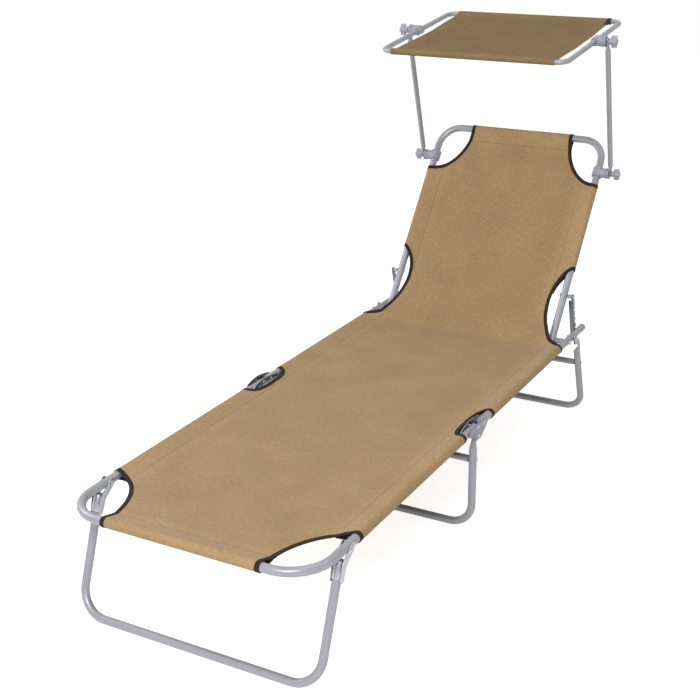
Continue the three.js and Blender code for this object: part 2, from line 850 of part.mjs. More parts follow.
// A quarter of a rounded cut-out from (across, 0) to (0, along), as (inward, along) pairs
function cutCurve(acrossSize, alongSize, share) {
  const points = [];
  for (let i = 0; i <= cutSteps; i += 1) {
    const t = (Math.PI / 2) * (i / cutSteps);
    const u = Math.cos(t) ** (2 / share);
    const v = Math.sin(t) ** (2 / share);
    points.push([acrossSize * u, alongSize * v]);
  }
  return points;
}

// The whole cut-out beside a middle hinge, as (inward, along) pairs from its middle
function hingeCut() {
  const quarter = cutCurve(hingeCutAcross, hingeCutAlong, hingeCutShare);
  const before = quarter.slice(1).map(([inward, y]) => [inward, -y]).reverse();
  return [...before, ...quarter];
}

// How far out the cloth reaches beside a middle hinge, a given way from the cut-out's middle
function hingeEdge(edge, distance) {
  const left = 1 - Math.abs(distance / hingeCutAlong) ** hingeCutShare;
  return edge - hingeCutAcross * left ** (1 / hingeCutShare);
}

function mirroredShape(rightSide) {
  const left = rightSide.map(([x, y]) => [-x, y]).reverse();
  return new THREE.Shape([...rightSide, ...left].map(([x, y]) => new THREE.Vector2(x, y)));
}

function outlinePrism(rightSide) {
  const geometry = new THREE.ExtrudeGeometry(mirroredShape(rightSide), {
    depth: 2 * cutOverrun, bevelEnabled: false,
  });
  geometry.translate(0, 0, -cutOverrun);
  return solidOf(geometry);
}

function sheet(halfWidth, from, to) {
  const geometry = new THREE.BoxGeometry(2 * halfWidth, to - from, clothThickness);
  geometry.translate(0, (from + to) / 2, 0);
  return solidOf(geometry);
}

// A straight prism along a tube; its outline is drawn from the tube's centre, inward and up
function alongTube(shape, centre, inward, length) {
  const geometry = new THREE.ExtrudeGeometry(shape, { depth: length, bevelEnabled: false });
  geometry.translate(0, 0, -length / 2);
  const lengthways = inward.clone().cross(upward);
  geometry.applyMatrix4(new THREE.Matrix4().makeBasis(inward, upward, lengthways));
  geometry.translate(centre[0], centre[1], 0);
  return solidOf(geometry);
}

// A sleeve and the room inside it: round over the tube, drawn together at the seam
function sleeve(centre, inward, length, tubeRadius, seam) {
  const room = tubeRadius + clearance;
  const outer = room + clothThickness;
  const edge = clothThickness / 2;
  const slope = (outer - edge) / (seam - edge);
  const tip = [(room - clearance) / slope, 0];
  const shell = linkShape([0, 0], outer, [seam - edge, 0], edge, sleeveSides);
  const hollow = linkShape([0, 0], room, tip, clearance, sleeveSides);
  return {
    shell: alongTube(shell, centre, inward, length),
    hollow: alongTube(hollow, centre, inward, length),
  };
}

// A sleeve on each side tube, between two distances along the bed
function sideSleeves(halfWidth, from, to) {
  return sides.map(([, side]) => sleeve(
    [side * halfWidth, (from + to) / 2], across.clone().multiplyScalar(-side),
    to - from, frameRadius, sleeveSeam,
  ));
}

// A sleeve on a bar across the bed; the cloth lies on the given side of it
function barSleeve(y, direction, halfWidth, tubeRadius, seam) {
  const inward = new THREE.Vector3(0, direction, 0);
  return sleeve([0, y], inward, 2 * halfWidth, tubeRadius, seam);
}

function clothOver(sleeves, halfWidth, from, to, rightSide) {
  const whole = join(sheet(halfWidth, from, to), ...sleeves.map(({ shell }) => shell));
  return cut(whole, ...sleeves.map(({ hollow }) => hollow)).intersect(outlinePrism(rightSide));
}

function addCloth(name, cloth, origin, angle) {
  const mesh = add(name, cloth, clothFinish);
  mesh.rotation.x = rad(angle);
  mesh.position.set(0, ...origin);
}

const clothEdge = sideX + frameRadius + cutOverrun;

function makeFootCloth() {
  const edge = bedWidth / 2;
  const end = footLength - middleClothGap;
  const corner = cutCurve(footCutAcross, footCutAlong, ellipseShare);
  const middle = footLength + hingeCutCentre;
  const right = [
    [edge - footCutAcross, -cutOverrun],
    ...corner.map(([inward, y]) => [edge - inward, y]),
    [clothEdge, footCutAlong],
    [clothEdge, middle - hingeCutAlong],
    ...hingeCut().map(([inward, y]) => [edge - inward, middle + y]).filter(([, y]) => y < end),
    [hingeEdge(edge, end - middle), end],
  ];
  const sleeves = [
    barSleeve(0, 1, sideX - footCorner, frameRadius, sleeveSeam),
    ...sideSleeves(sideX, footCorner, end + cutOverrun),
  ];
  const cloth = clothOver(sleeves, sideX, 0, end, right);
  addCloth('foot_cloth', cloth, [0, bedHeight], 0);
}

function makeSeatCloth() {
  const edge = bedWidth / 2;
  const start = middleClothGap;
  const end = seatLength - backClothGap;
  const middle = hingeCutCentre;
  const back = cutCurve(seatCutAcross, seatCutAlong, softCutShare).reverse();
  const right = [
    [hingeEdge(edge, start - middle), start],
    ...hingeCut().map(([inward, y]) => [edge - inward, middle + y]).filter(([, y]) => y > start),
    [clothEdge, middle + hingeCutAlong],
    [clothEdge, seatLength - seatCutAlong],
    ...back.map(([inward, y]) => [edge - inward, seatLength - y]).filter(([, y]) => y < end),
    [edge - seatCutAcross, end],
  ];
  const sleeves = sideSleeves(sideX, start - cutOverrun, end);
  const cloth = clothOver(sleeves, sideX, start, end, right);
  addCloth('seat_cloth', cloth, [hingeY, bedHeight], 0);
}

function makeBackCloth() {
  const edge = backHalfWidth + frameRadius;
  const waist = edge - backCutAcross;
  const low = cutCurve(backCutAcross, backCutAlong, ellipseShare);
  const top = cutCurve(topCutAcross, topCutAlong, ellipseShare).reverse();
  const reach = edge + cutOverrun;
  const right = [
    [waist, backClothGap],
    ...low.map(([inward, y]) => [edge - inward, backCutStart + y]),
    [reach, backCutStart + backCutAlong],
    [reach, backLength - topCutAlong],
    ...top.map(([inward, y]) => [edge - inward, backLength - y]),
    [edge - topCutAcross, backLength + cutOverrun],
  ];
  const sleeves = [
    barSleeve(backLength, -1, backHalfWidth - backCorner, frameRadius, sleeveSeam),
    ...sideSleeves(backHalfWidth, backCutStart, backLength - backCorner),
  ];
  const cloth = clothOver(sleeves, backHalfWidth, backClothGap, backLength, right);
  addCloth('back_cloth', cloth, backPivot, backAngle);
}

function makeCanopyCloth() {
  const reach = canopyHalfWidth - canopyClothInset;
  const right = [[reach, -canopyFront - cutOverrun], [reach, canopyRear + cutOverrun]];
  const sleeves = [
    barSleeve(-canopyFront, 1, canopyHalfWidth, canopyRadius, canopySeam),
    barSleeve(canopyRear, -1, canopyHalfWidth, canopyRadius, canopySeam),
  ];
  const cloth = clothOver(sleeves, canopyHalfWidth, -canopyFront, canopyRear, right);
  addCloth('canopy_cloth', cloth, canopyPivot, canopyTilt);
}

makeFootFrame();
makeFootLeg();
makeFootBrackets();
makeHinges();
makeSeatTubes();
makeMiddleLeg();
makeRearLeg();
makeBackrest();
makeAdjusters();
makeCanopyFrame();
makeArms();
makeClamps();
makeFootCloth();
makeSeatCloth();
makeBackCloth();
makeCanopyCloth();

// The origin is on the ground under the middle of the lounger
const extent = new THREE.Box3().setFromObject(lounger);
lounger.position.y = -(extent.min.y + extent.max.y) / 2;

export default lounger;
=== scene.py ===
"""Folding sun lounger with a tilting canopy: bent steel tube, folding U legs, riveted
hinges, a reclining backrest on notched bars, one long cloth sewn round the tubes and a
cloth sunshade on two clamped arms. Metres, +X across, +Y to the head, +Z up."""

import json
import math

import bmesh
import bpy
from bpy.props import FloatProperty, FloatVectorProperty, PointerProperty
from mathutils import Matrix, Vector


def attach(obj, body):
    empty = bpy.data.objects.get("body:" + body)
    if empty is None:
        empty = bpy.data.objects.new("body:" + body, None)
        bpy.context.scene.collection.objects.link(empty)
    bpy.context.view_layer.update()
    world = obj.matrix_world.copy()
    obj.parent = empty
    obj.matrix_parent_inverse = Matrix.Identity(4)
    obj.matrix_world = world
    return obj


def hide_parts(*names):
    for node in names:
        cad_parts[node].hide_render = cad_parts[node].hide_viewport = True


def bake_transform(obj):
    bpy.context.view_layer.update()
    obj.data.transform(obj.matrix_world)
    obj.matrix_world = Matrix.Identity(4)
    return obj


bl_info = {
    "name": "Sun lounger with canopy",
    "version": (1, 0, 0),
    "blender": (4, 5, 0),
    "location": "View3D > Sidebar > Lounger",
    "description": "Builds a folding sun lounger with a canopy around its packed frame",
    "category": "Object",
}

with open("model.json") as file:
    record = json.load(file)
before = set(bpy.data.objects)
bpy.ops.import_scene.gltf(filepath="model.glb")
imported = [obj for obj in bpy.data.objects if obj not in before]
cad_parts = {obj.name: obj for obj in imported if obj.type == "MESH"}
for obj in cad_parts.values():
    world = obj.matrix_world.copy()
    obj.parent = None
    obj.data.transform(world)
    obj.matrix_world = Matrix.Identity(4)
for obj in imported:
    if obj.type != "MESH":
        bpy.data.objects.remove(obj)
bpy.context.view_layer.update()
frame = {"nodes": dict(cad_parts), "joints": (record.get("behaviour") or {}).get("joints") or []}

# Places that come from the frame's joints
JOINT = {joint["name"]: Vector(joint["pos_m"]) for joint in frame["joints"]}
MM = 0.001
FOOT_LENGTH = 0.705
BED_START = JOINT["foot_fold"].y - FOOT_LENGTH
HEIGHT = JOINT["foot_leg_fold"].z
HINGE = JOINT["foot_fold"]
BACK = JOINT["backrest_recline"]
ARM_FOOT = JOINT["canopy_swing"]
ARM_HEAD = JOINT["canopy_tilt"]
BACK_WAY = Vector((0, ARM_FOOT.y - BACK.y, ARM_FOOT.z - BACK.z)).normalized()
BACK_UP = Vector((0, -BACK_WAY.z, BACK_WAY.y))
ARM_WAY = (ARM_HEAD - ARM_FOOT).normalized()
CANOPY_TILT = math.radians(6.7)
CANOPY_WAY = Vector((0, math.cos(CANOPY_TILT), math.sin(CANOPY_TILT)))
CANOPY_UP = Vector((0, -CANOPY_WAY.z, CANOPY_WAY.y))
ACROSS = Vector((1, 0, 0))
SIDES = (("left", -1), ("right", 1))

# From the middle to the centre of the bed's, the back's, the canopy's and the arms' tubes
SIDE_X = 0.2805
BACK_X = 0.2415
CANOPY_X = 0.2475
ARM_X = 0.2776
BACK_LENGTH = 0.572
SEAT_END = 1.4197
# The canopy loop's front and rear tube, from its pivots
CANOPY_FRONT, CANOPY_REAR = -0.2165, 0.2005
# A leg's top, along the bed, and how far its foot stands from there
FOOT_LEG = (0.113, -0.0976)
REAR_LEG = (1.358, 0.088)
MIDDLE_BRACE_Z, REAR_BRACE_Z = 0.178, 0.165
# The notched bar's inner face
BAR_X = 0.2683

# Rivets and their holes
PLAY = 0.3 * MM
HOLE = 2.8 * MM
BOLT_HOLE = 4.3 * MM
CLAMP_HOLE = 3.4 * MM
SHANK = 2.5 * MM
SEAT_RIVET = (BED_START + 0.736, HEIGHT + 4 * MM)
STUD = (BACK.y + 0.105, HEIGHT)

# Cloth
BED_SPLIT = 1.0
SEAT_SEAM_X, BACK_SEAM_X = 0.244, 0.205
# Where the side sleeves change from the seat's tubes to the backrest's
SLEEVES_PART = 1.29
SHADE_HALF = 0.2195
# The cloth's outermost line, past a tube's centre
CLOTH_PAST = 0.0112
INNER = 0.14

# Counts
TUBE_SIDES = 32
BEND_STEPS = 12


def linear(hex_colour):
    """An sRGB hex colour as linear red, green and blue."""
    parts = [int(hex_colour[i : i + 2], 16) / 255 for i in (1, 3, 5)]
    return [p / 12.92 if p <= 0.04045 else ((p + 0.055) / 1.055) ** 2.4 for p in parts]


def colour_property(name, hex_colour, description):
    return FloatVectorProperty(
        name=name, description=description, subtype="COLOR", size=3, min=0, max=1,
        default=linear(hex_colour),
    )


def length_property(name, default, description):
    return FloatProperty(
        name=name, description=description, default=default, min=0, unit="LENGTH",
        precision=4,
    )


class LoungerSizes(bpy.types.PropertyGroup):
    """Sizes that a user would change."""

    frame_tube: length_property("Frame tube", 0.019, "Outer diameter of the bed's tube")
    leg_tube: length_property("Leg tube", 0.018, "Outer diameter of the legs")
    brace_tube: length_property("Brace tube", 0.016, "Outer diameter of the leg braces")
    arm_tube: length_property("Arm tube", 0.0135, "Outer diameter of the canopy arms")
    canopy_tube: length_property("Canopy tube", 0.0127, "Outer diameter of the canopy loop")
    wall: length_property("Tube wall", 0.0011, "Wall of every tube")
    cloth: length_property("Cloth thickness", 0.001, "Thickness of the woven cloth")
    seam: length_property("Seam distance", 0.0365, "From a tube's centre to its seam")
    binding: length_property("Binding width", 0.009, "Width of the tape on a cut-out")
    sag: length_property("Sag", 0.0035, "How far the bed dips between the tubes")


class LoungerColours(bpy.types.PropertyGroup):
    """Colours that a user would change."""

    steel: colour_property("Tube coat", "#9c9da5", "Silver-grey powder coat of the tubes")
    plate: colour_property("Plates", "#a3a6ad", "Zinc on the plates, bars and rivets")
    plastic: colour_property("Clamps", "#9b9da8", "Moulded clamps and knobs")
    cap: colour_property("Caps", "#8f9096", "Moulded tube caps")
    cloth: colour_property("Cloth", "#a3865e", "Woven cloth of the bed")
    # The canopy's cloth is the bed's cloth; its darker colour here is painted shade
    shade: colour_property("Canopy cloth", "#856f4e", "Woven cloth of the canopy")
    binding: colour_property("Binding", "#28211c", "Tape along the cut-outs")


def sizes():
    return bpy.context.scene.lounger_sizes


def colours():
    return bpy.context.scene.lounger_colours


def bed(x, y, z=None):
    """A point by its distance along the bed from the foot bar's centre."""
    return Vector((x, BED_START + y, HEIGHT if z is None else z))


def back(x, distance, lift=0.0):
    """A point by its distance up the backrest from its hinge."""
    return Vector((x, BACK.y, BACK.z)) + BACK_WAY * distance + BACK_UP * lift


def canopy(x, distance, lift=0.0):
    """A point by its distance along the canopy from its pivots."""
    return Vector((x, ARM_HEAD.y, ARM_HEAD.z)) + CANOPY_WAY * distance + CANOPY_UP * lift


# Materials


def add_node(tree, kind, settings=None, links=None):
    """Add a node, set its values and sockets, and link its inputs."""
    made = tree.nodes.new(kind)
    for key, value in (settings or {}).items():
        if isinstance(key, str) and hasattr(made, key):
            setattr(made, key, value)
        else:
            made.inputs[key].default_value = value
    for key, source in (links or {}).items():
        tree.links.new(source, made.inputs[key])
    return made


def figure(tree, operation, *values):
    """What a math node makes of one or two values, each a number or a socket."""
    settings, links = {"operation": operation}, {}
    for index, value in enumerate(values):
        (settings if isinstance(value, float) else links)[index] = value
    return add_node(tree, "ShaderNodeMath", settings, links).outputs[0]


def chain(tree, operation, values):
    """The same operation over a row of values."""
    result = values[0]
    for value in values[1:]:
        result = figure(tree, operation, result, value)
    return result


def ramp(tree, value, low, high, start=0.0, stop=1.0, smooth=False):
    """Low where the value is at its start and high where it is at its stop."""
    return add_node(
        tree, "ShaderNodeMapRange",
        {"interpolation_type": "SMOOTHSTEP" if smooth else "LINEAR",
         1: start, 2: stop, 3: low, 4: high},
        {0: value},
    ).outputs[0]


def noise(tree, place, size, detail):
    """Soft spots about this many metres wide."""
    return add_node(
        tree, "ShaderNodeTexNoise", {"Scale": 1 / size, "Detail": detail},
        {"Vector": place},
    ).outputs["Fac"]


def waves(tree, place, direction, spacing, distortion=0.0):
    return add_node(
        tree, "ShaderNodeTexWave",
        {"bands_direction": direction, "Scale": 1 / spacing / math.tau,
         "Distortion": distortion},
        {"Vector": place},
    ).outputs["Fac"]


def object_place(tree):
    return add_node(tree, "ShaderNodeTexCoord").outputs["Object"]


def cloth_place(tree):
    """The place on the flat pattern, in metres."""
    return add_node(tree, "ShaderNodeUVMap", {"uv_map": "cloth"}).outputs["UV"]


def shade_of(colour, factor):
    return tuple(min(1.0, channel * factor) for channel in colour)


class Finish:
    """A new material with its node tree and its shader."""

    def __init__(self, name):
        self.material = bpy.data.materials.new(name)
        self.material.use_nodes = True
        self.tree = self.material.node_tree
        self.shader = self.tree.nodes["Principled BSDF"]

    def level(self, **values):
        """Constants on the shader, such as IOR or Sheen_Weight."""
        for key, value in values.items():
            self.shader.inputs[key.replace("_", " ")].default_value = value

    def link(self, source, socket):
        self.tree.links.new(source, self.shader.inputs[socket])

    def two_tones(self, factor, colour, dark, light):
        """The colour between a darker and a lighter shade."""
        tone = add_node(
            self.tree, "ShaderNodeMix", {"data_type": "RGBA"}, {"Factor": factor}
        )
        tone.inputs[6].default_value = (*shade_of(colour, dark), 1.0)
        tone.inputs[7].default_value = (*shade_of(colour, light), 1.0)
        self.link(tone.outputs[2], "Base Color")

    def relief(self, height, strength, depth):
        bump = add_node(
            self.tree, "ShaderNodeBump", {"Strength": strength, "Distance": depth},
            {"Height": height},
        )
        self.link(bump.outputs["Normal"], "Normal")


def coated_steel(name, colour, metallic, roughness):
    """Powder-coated steel: satin, with the faint orange peel that the baked powder leaves
    and a slow change of gloss where hands and sleeves have rubbed it."""
    made = Finish(name)
    place = object_place(made.tree)
    # Orange peel is about 1.5 mm across, and handling marks are about 40 mm
    peel = noise(made.tree, place, 0.0015, 2.0)
    marks = noise(made.tree, place, 0.04, 4.0)
    made.two_tones(marks, colour, 0.93, 1.06)
    made.link(ramp(made.tree, marks, roughness - 0.06, roughness + 0.07), "Roughness")
    made.relief(peel, 0.12, 0.0002)
    made.level(Metallic=metallic)
    return made.material


def moulded_plastic(name, colour, roughness):
    """ABS from a spark-eroded mould: a fine even grain and a satin gloss."""
    made = Finish(name)
    place = object_place(made.tree)
    # The mould's grain is about 0.5 mm, and its flow marks are about 12 mm
    made.two_tones(noise(made.tree, place, 0.012, 3.0), colour, 0.94, 1.05)
    made.relief(noise(made.tree, place, 0.0005, 2.0), 0.15, 0.0001)
    made.level(Roughness=roughness, IOR=1.53)
    return made.material


def woven_cloth(name, colour, side_seams, bar_seams, sheen=0.12, gloss=0.5):
    """Woven polyester: plain weave of thick and thin yarns, matt with a little sheen, a
    mottled tone in patches about 110 mm across, and the stitched seams of its sleeves,
    with painted shade in their grooves and on the single sheet, and painted light on the
    sleeves' doubled cloth. side_seams are at the foot and at the back."""
    made = Finish(name)
    tree = made.tree
    uv = cloth_place(tree)

    def spots(across, along, detail):
        stretched = add_node(
            tree, "ShaderNodeMapping", {"Scale": (1 / across, 1 / along, 1.0)},
            {"Vector": uv},
        )
        return noise(tree, stretched.outputs["Vector"], 1.0, detail)

    # Yarns are 0.5 mm apart; 2 mm thick and thin places are drawn so that they show
    yarns = figure(tree, "ADD", spots(0.002, 0.012, 2.0), spots(0.012, 0.002, 2.0))
    mottle = spots(0.11, 0.11, 3.0)
    # Seams: a row of 4 mm stitches in a groove that reaches 3 mm to either side.
    # The groove is sunk in relief and darkened with painted shade
    split = add_node(tree, "ShaderNodeSeparateXYZ", {}, {"Vector": uv})
    along = split.outputs["Y"]
    out = figure(tree, "ABSOLUTE", split.outputs["X"])
    side_line = ramp(tree, along, *side_seams, 1.28, 1.34)
    seams = [(out, side_line)] + [(along, seam) for seam in bar_seams]
    away = [
        figure(tree, "ABSOLUTE", figure(tree, "SUBTRACT", *pair)) for pair in seams
    ]
    nearest = chain(tree, "MINIMUM", away)
    groove_and_painted_shade = ramp(tree, nearest, 1.0, 0.0, 0.0, 0.003, True)
    thread = ramp(tree, nearest, 1.0, 0.0, 0.0, 0.0011, True)
    pitch = add_node(
        tree, "ShaderNodeTexChecker", {"Scale": 1 / 0.004}, {"Vector": uv}
    ).outputs["Fac"]
    # Painted light and shade at the seams: the single sheet is painted darker as shade where
    # it dips, lightening over its last 30 mm before a seam, and a sleeve's doubled cloth is
    # painted lighter, partly its own tone and partly painted light on the bands
    beyond = chain(tree, "MAXIMUM", [
        figure(tree, "SUBTRACT", out, side_line),
        figure(tree, "SUBTRACT", bar_seams[0], along),
        figure(tree, "SUBTRACT", along, bar_seams[1]),
    ])
    level = chain(tree, "MULTIPLY", [
        ramp(tree, yarns, 0.79, 1.2, 0.7, 1.3),
        ramp(tree, mottle, 0.91, 1.07, 0.3, 0.7),
        # Painted shade darkens the seam's groove
        ramp(tree, groove_and_painted_shade, 1.0, 0.75),
        # Painted shade on the single sheet, painted light on the sleeves
        ramp(tree, beyond, 0.97, 1.07, -0.03, 0.004, True),
        ramp(tree, figure(tree, "MULTIPLY", thread, pitch), 1.0, 1.3),
    ])
    dyed = add_node(
        tree, "ShaderNodeVectorMath", {"operation": "SCALE", 0: colour},
        {"Scale": level},
    )
    made.link(dyed.outputs["Vector"], "Base Color")
    # The weave itself, 1 mm from crest to crest, only as relief
    weave = chain(
        tree, "MAXIMUM", [waves(tree, uv, way, 0.001, 0.4) for way in ("X", "Y")]
    )
    height = figure(tree, "ADD", weave, yarns)
    sunk = figure(tree, "MULTIPLY", groove_and_painted_shade, 2.5)
    made.relief(figure(tree, "SUBTRACT", height, sunk), 0.35, 0.0003)
    made.level(Roughness=0.88, Sheen_Weight=sheen, Sheen_Roughness=0.5,
               Specular_IOR_Level=gloss, IOR=1.45)
    return made.material


def woven_tape(name, colour):
    """Polyester grosgrain tape: cross ribs 1.2 mm apart on a matt dark yarn."""
    made = Finish(name)
    ribs = waves(made.tree, cloth_place(made.tree), "Y", 0.0012)
    made.two_tones(ribs, colour, 0.8, 1.25)
    made.relief(ribs, 0.4, 0.0002)
    made.level(Roughness=0.85, Specular_IOR_Level=0.25)
    return made.material


def finish_material(kind):
    """The named finish, made on first use."""
    found = bpy.data.materials.get(kind)
    if found:
        return found
    c = colours()
    makers = {
        "powder_coated_steel": lambda: coated_steel(kind, c.steel, 0.25, 0.36),
        "zinc_plated_steel": lambda: coated_steel(kind, c.plate, 0.95, 0.32),
        "dull_zinc_steel": lambda: coated_steel(kind, shade_of(c.plate, 0.53), 0.8, 0.4),
        "moulded_abs": lambda: moulded_plastic(kind, c.plastic, 0.42),
        "moulded_polyethylene": lambda: moulded_plastic(kind, c.cap, 0.5),
        "woven_polyester": lambda: woven_cloth(
            kind, c.cloth, (SEAT_SEAM_X, BACK_SEAM_X), (0.0365, 1.817)
        ),
        # The canopy's cloth: the bed's weave in the darker colour that is painted shade
        "woven_polyester_shade": lambda: woven_cloth(
            kind, c.shade, (0.21, 0.21), (-0.1915, 0.1755), 0.0, 0.2
        ),
        "grosgrain_tape": lambda: woven_tape(kind, c.binding),
    }
    return makers[kind]()


SLOT_FINISH = {
    "steel": "powder_coated_steel",
    "plate": "zinc_plated_steel",
    "plastic": "moulded_abs",
    "cap": "moulded_polyethylene",
    "cloth": "woven_polyester",
    "canopy_cloth": "woven_polyester_shade",
}


# Modelling


def leave_edit():
    bpy.ops.object.mode_set(mode="OBJECT")


def begin():
    """Leave edit mode and deselect everything."""
    if bpy.context.object and bpy.context.object.mode != "OBJECT":
        leave_edit()
    bpy.ops.object.select_all(action="DESELECT")


def choose(piece):
    begin()
    piece.select_set(True)
    bpy.context.view_layer.objects.active = piece


def edit_all(piece):
    choose(piece)
    bpy.ops.object.mode_set(mode="EDIT")
    bpy.ops.mesh.select_all(action="SELECT")


def apply_modifier(piece, kind, **settings):
    choose(piece)
    modifier = piece.modifiers.new(kind.title(), kind)
    for key, value in settings.items():
        setattr(modifier, key, value)
    bpy.ops.object.modifier_apply(modifier=modifier.name)


def break_edges(piece, width, angle, segments=2):
    apply_modifier(piece, "BEVEL", width=width, segments=segments, limit_method="ANGLE",
                   angle_limit=math.radians(angle))


def face_out():
    """Turn the normals of the mesh being edited outwards, and leave it."""
    bpy.ops.mesh.select_all(action="SELECT")
    bpy.ops.mesh.normals_make_consistent(inside=False)
    leave_edit()


def smooth(piece, angle=35):
    choose(piece)
    bpy.ops.object.shade_smooth_by_angle(angle=math.radians(angle))


def fit(piece, name, body, slot, *nodes, finish=None, angle=35):
    """Name a rigid piece, finish it and let it stand for its CAD nodes."""
    smooth(piece, angle)
    piece.name = name
    piece.data.name = name
    piece.data.materials.clear()
    piece.data.materials.append(finish_material(finish or SLOT_FINISH[slot]))
    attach(piece, body)
    if nodes:
        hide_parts(*nodes)
    return piece


def joined(pieces):
    """Several meshes as one piece."""
    choose(pieces[0])
    for piece in pieces[1:]:
        piece.select_set(True)
    bpy.ops.object.join()
    return bpy.context.object


class TubeRun:
    """A circle drawn out along straight runs and round bends, as a tube is bent."""

    def __init__(self, start, heading, radius, sides=TUBE_SIDES):
        begin()
        self.at = Vector(start)
        turn = Vector(heading).to_track_quat("Z", "Y").to_euler()
        bpy.ops.mesh.primitive_circle_add(
            vertices=sides, radius=radius, location=self.at, rotation=turn
        )
        bpy.ops.object.transform_apply(location=True, rotation=True, scale=True)
        self.piece = bpy.context.object
        self.across, self.upright = radius, radius
        bpy.ops.object.mode_set(mode="EDIT")
        bpy.ops.mesh.select_all(action="SELECT")

    def straight(self, point):
        step = Vector(point) - self.at
        bpy.ops.mesh.extrude_region_move(TRANSFORM_OT_translate={"value": step})
        self.at = Vector(point)

    def bend(self, corner, after, radius, steps=BEND_STEPS):
        """Go straight to a corner's bend and round it, towards the point after it."""
        corner = Vector(corner)
        behind = (self.at - corner).normalized()
        ahead = (Vector(after) - corner).normalized()
        half = behind.angle(ahead) / 2
        reach = radius / math.tan(half)
        self.straight(corner + behind * reach)
        centre = corner + (behind + ahead).normalized() * radius / math.sin(half)
        # With no window, spin turns the other way round its axis
        axis = (self.at - centre).cross(behind).normalized()
        bpy.ops.mesh.spin(
            steps=steps, angle=math.pi - 2 * half, center=centre, axis=axis, dupli=False
        )
        self.at = corner + ahead * reach

    def reshape(self, across, upright):
        """Flatten or widen the last ring, across the bed and in its own slope."""
        flat = upright / self.upright
        value = (across / self.across, flat, flat)
        bpy.ops.transform.resize(value=value, center_override=self.at)
        self.across, self.upright = across, upright

    def rings(self, items):
        """Pass through rings, each a point with its half sizes in millimetres."""
        for point, across, upright in items:
            if (Vector(point) - self.at).length > 1e-9:
                self.straight(point)
            self.reshape(across * MM, upright * MM)

    def done(self, wall=None, closed=False):
        """Close the ends, or the loop, or give the open tube its wall."""
        bpy.ops.mesh.select_all(action="SELECT")
        bpy.ops.mesh.remove_doubles(threshold=1e-6)
        if wall is None and not closed:
            bpy.ops.mesh.fill_holes(sides=0)
        face_out()
        if wall is not None:
            apply_modifier(self.piece, "SOLIDIFY", thickness=wall, offset=-1)
        return self.piece


def bent_tube(points, radius, bend, wall=None):
    """A tube through corner points, each rounded by the same bend."""
    points = [Vector(p) for p in points]
    run = TubeRun(points[0], points[1] - points[0], radius)
    for corner, after in zip(points[1:], points[2:]):
        run.bend(corner, after, bend)
    run.straight(points[-1])
    return run.done(wall)


def turned(profile, origin, axis, sides=24, wall=None):
    """A lathe-turned piece from (distance, radius) pairs along an axis."""
    origin, axis = Vector(origin), Vector(axis).normalized()
    first = profile[0]
    run = TubeRun(origin + axis * first[0], axis, first[1], sides)
    for distance, radius in profile[1:]:
        run.straight(origin + axis * distance)
        share = radius / run.across
        bpy.ops.transform.resize(value=(share,) * 3, center_override=run.at)
        run.across = run.upright = radius
    return run.done(wall)


def domed_head(radius, rise, shank):
    """Half a rivet's profile: from the crown's middle out to its rim and in to the shank."""
    crown = [
        (-rise * math.cos(t), radius * math.sin(t))
        for t in (math.radians(a) for a in (4, 25, 48, 70, 84))
    ]
    return [*crown, (0.0, radius), (0.0, shank)]


def rivet(x0, x1, place, shank=SHANK, head=5 * MM, rise=2 * MM, heads=(True, True)):
    """A rivet across the bed from x0 to x1 at (y, z), with a domed head at either end."""
    low, high = sorted((x0, x1))
    grip = high - low
    start = domed_head(head, rise, shank) if heads[0] else [(0.0, shank)]
    end = domed_head(head, rise, shank) if heads[1] else [(0.0, shank)]
    profile = start + [(grip - d, r) for d, r in reversed(end)]
    return turned(profile, (low, *place), ACROSS, 20)


def outer_rivet(side, inner, outer, place):
    """A rivet whose only head is on the outside of the lounger."""
    return rivet(side * inner, side * outer, place, heads=(side < 0, side > 0))


def block(size, middle, cuts):
    """A block, cut up so that it can be shaped."""
    begin()
    bpy.ops.mesh.primitive_cube_add(size=1, location=middle)
    bpy.ops.object.transform_apply(location=True, rotation=False, scale=False)
    piece = bpy.context.object
    edit_all(piece)
    bpy.ops.transform.resize(value=size, center_override=middle)
    bpy.ops.mesh.subdivide(number_cuts=cuts)
    leave_edit()
    return piece


def from_node(node, bevel, sharp=35, reshape=None, cuts=()):
    """A copy of a CAD plate, merged, with its edges broken as stamping and tumbling do.
    It is cut across at each y of cuts, and reshape() gives its points a finer place first."""
    begin()
    piece = bpy.data.objects.new("plate", frame["nodes"][node].data.copy())
    bpy.context.scene.collection.objects.link(piece)
    edit_all(piece)
    bpy.ops.mesh.remove_doubles(threshold=1e-5)
    for y in cuts:
        bpy.ops.mesh.select_all(action="SELECT")
        bpy.ops.mesh.bisect(plane_co=(0, y, 0), plane_no=(0, 1, 0))
    if reshape:
        leave_edit()
        for vertex in piece.data.vertices:
            vertex.co = reshape(vertex.co)
        bpy.ops.object.mode_set(mode="EDIT")
    bpy.ops.mesh.dissolve_limited(angle_limit=math.radians(1))
    bpy.ops.mesh.select_all(action="DESELECT")
    bpy.ops.mesh.select_mode(type="EDGE")
    bpy.ops.mesh.edges_select_sharp(sharpness=math.radians(sharp))
    bpy.ops.mesh.bevel(offset=bevel, segments=2, affect="EDGES", clamp_overlap=True)
    bpy.ops.mesh.select_mode(type="VERT")
    leave_edit()
    return piece


def yz(point):
    return (point.y, point.z)


# Sleeves and cloth


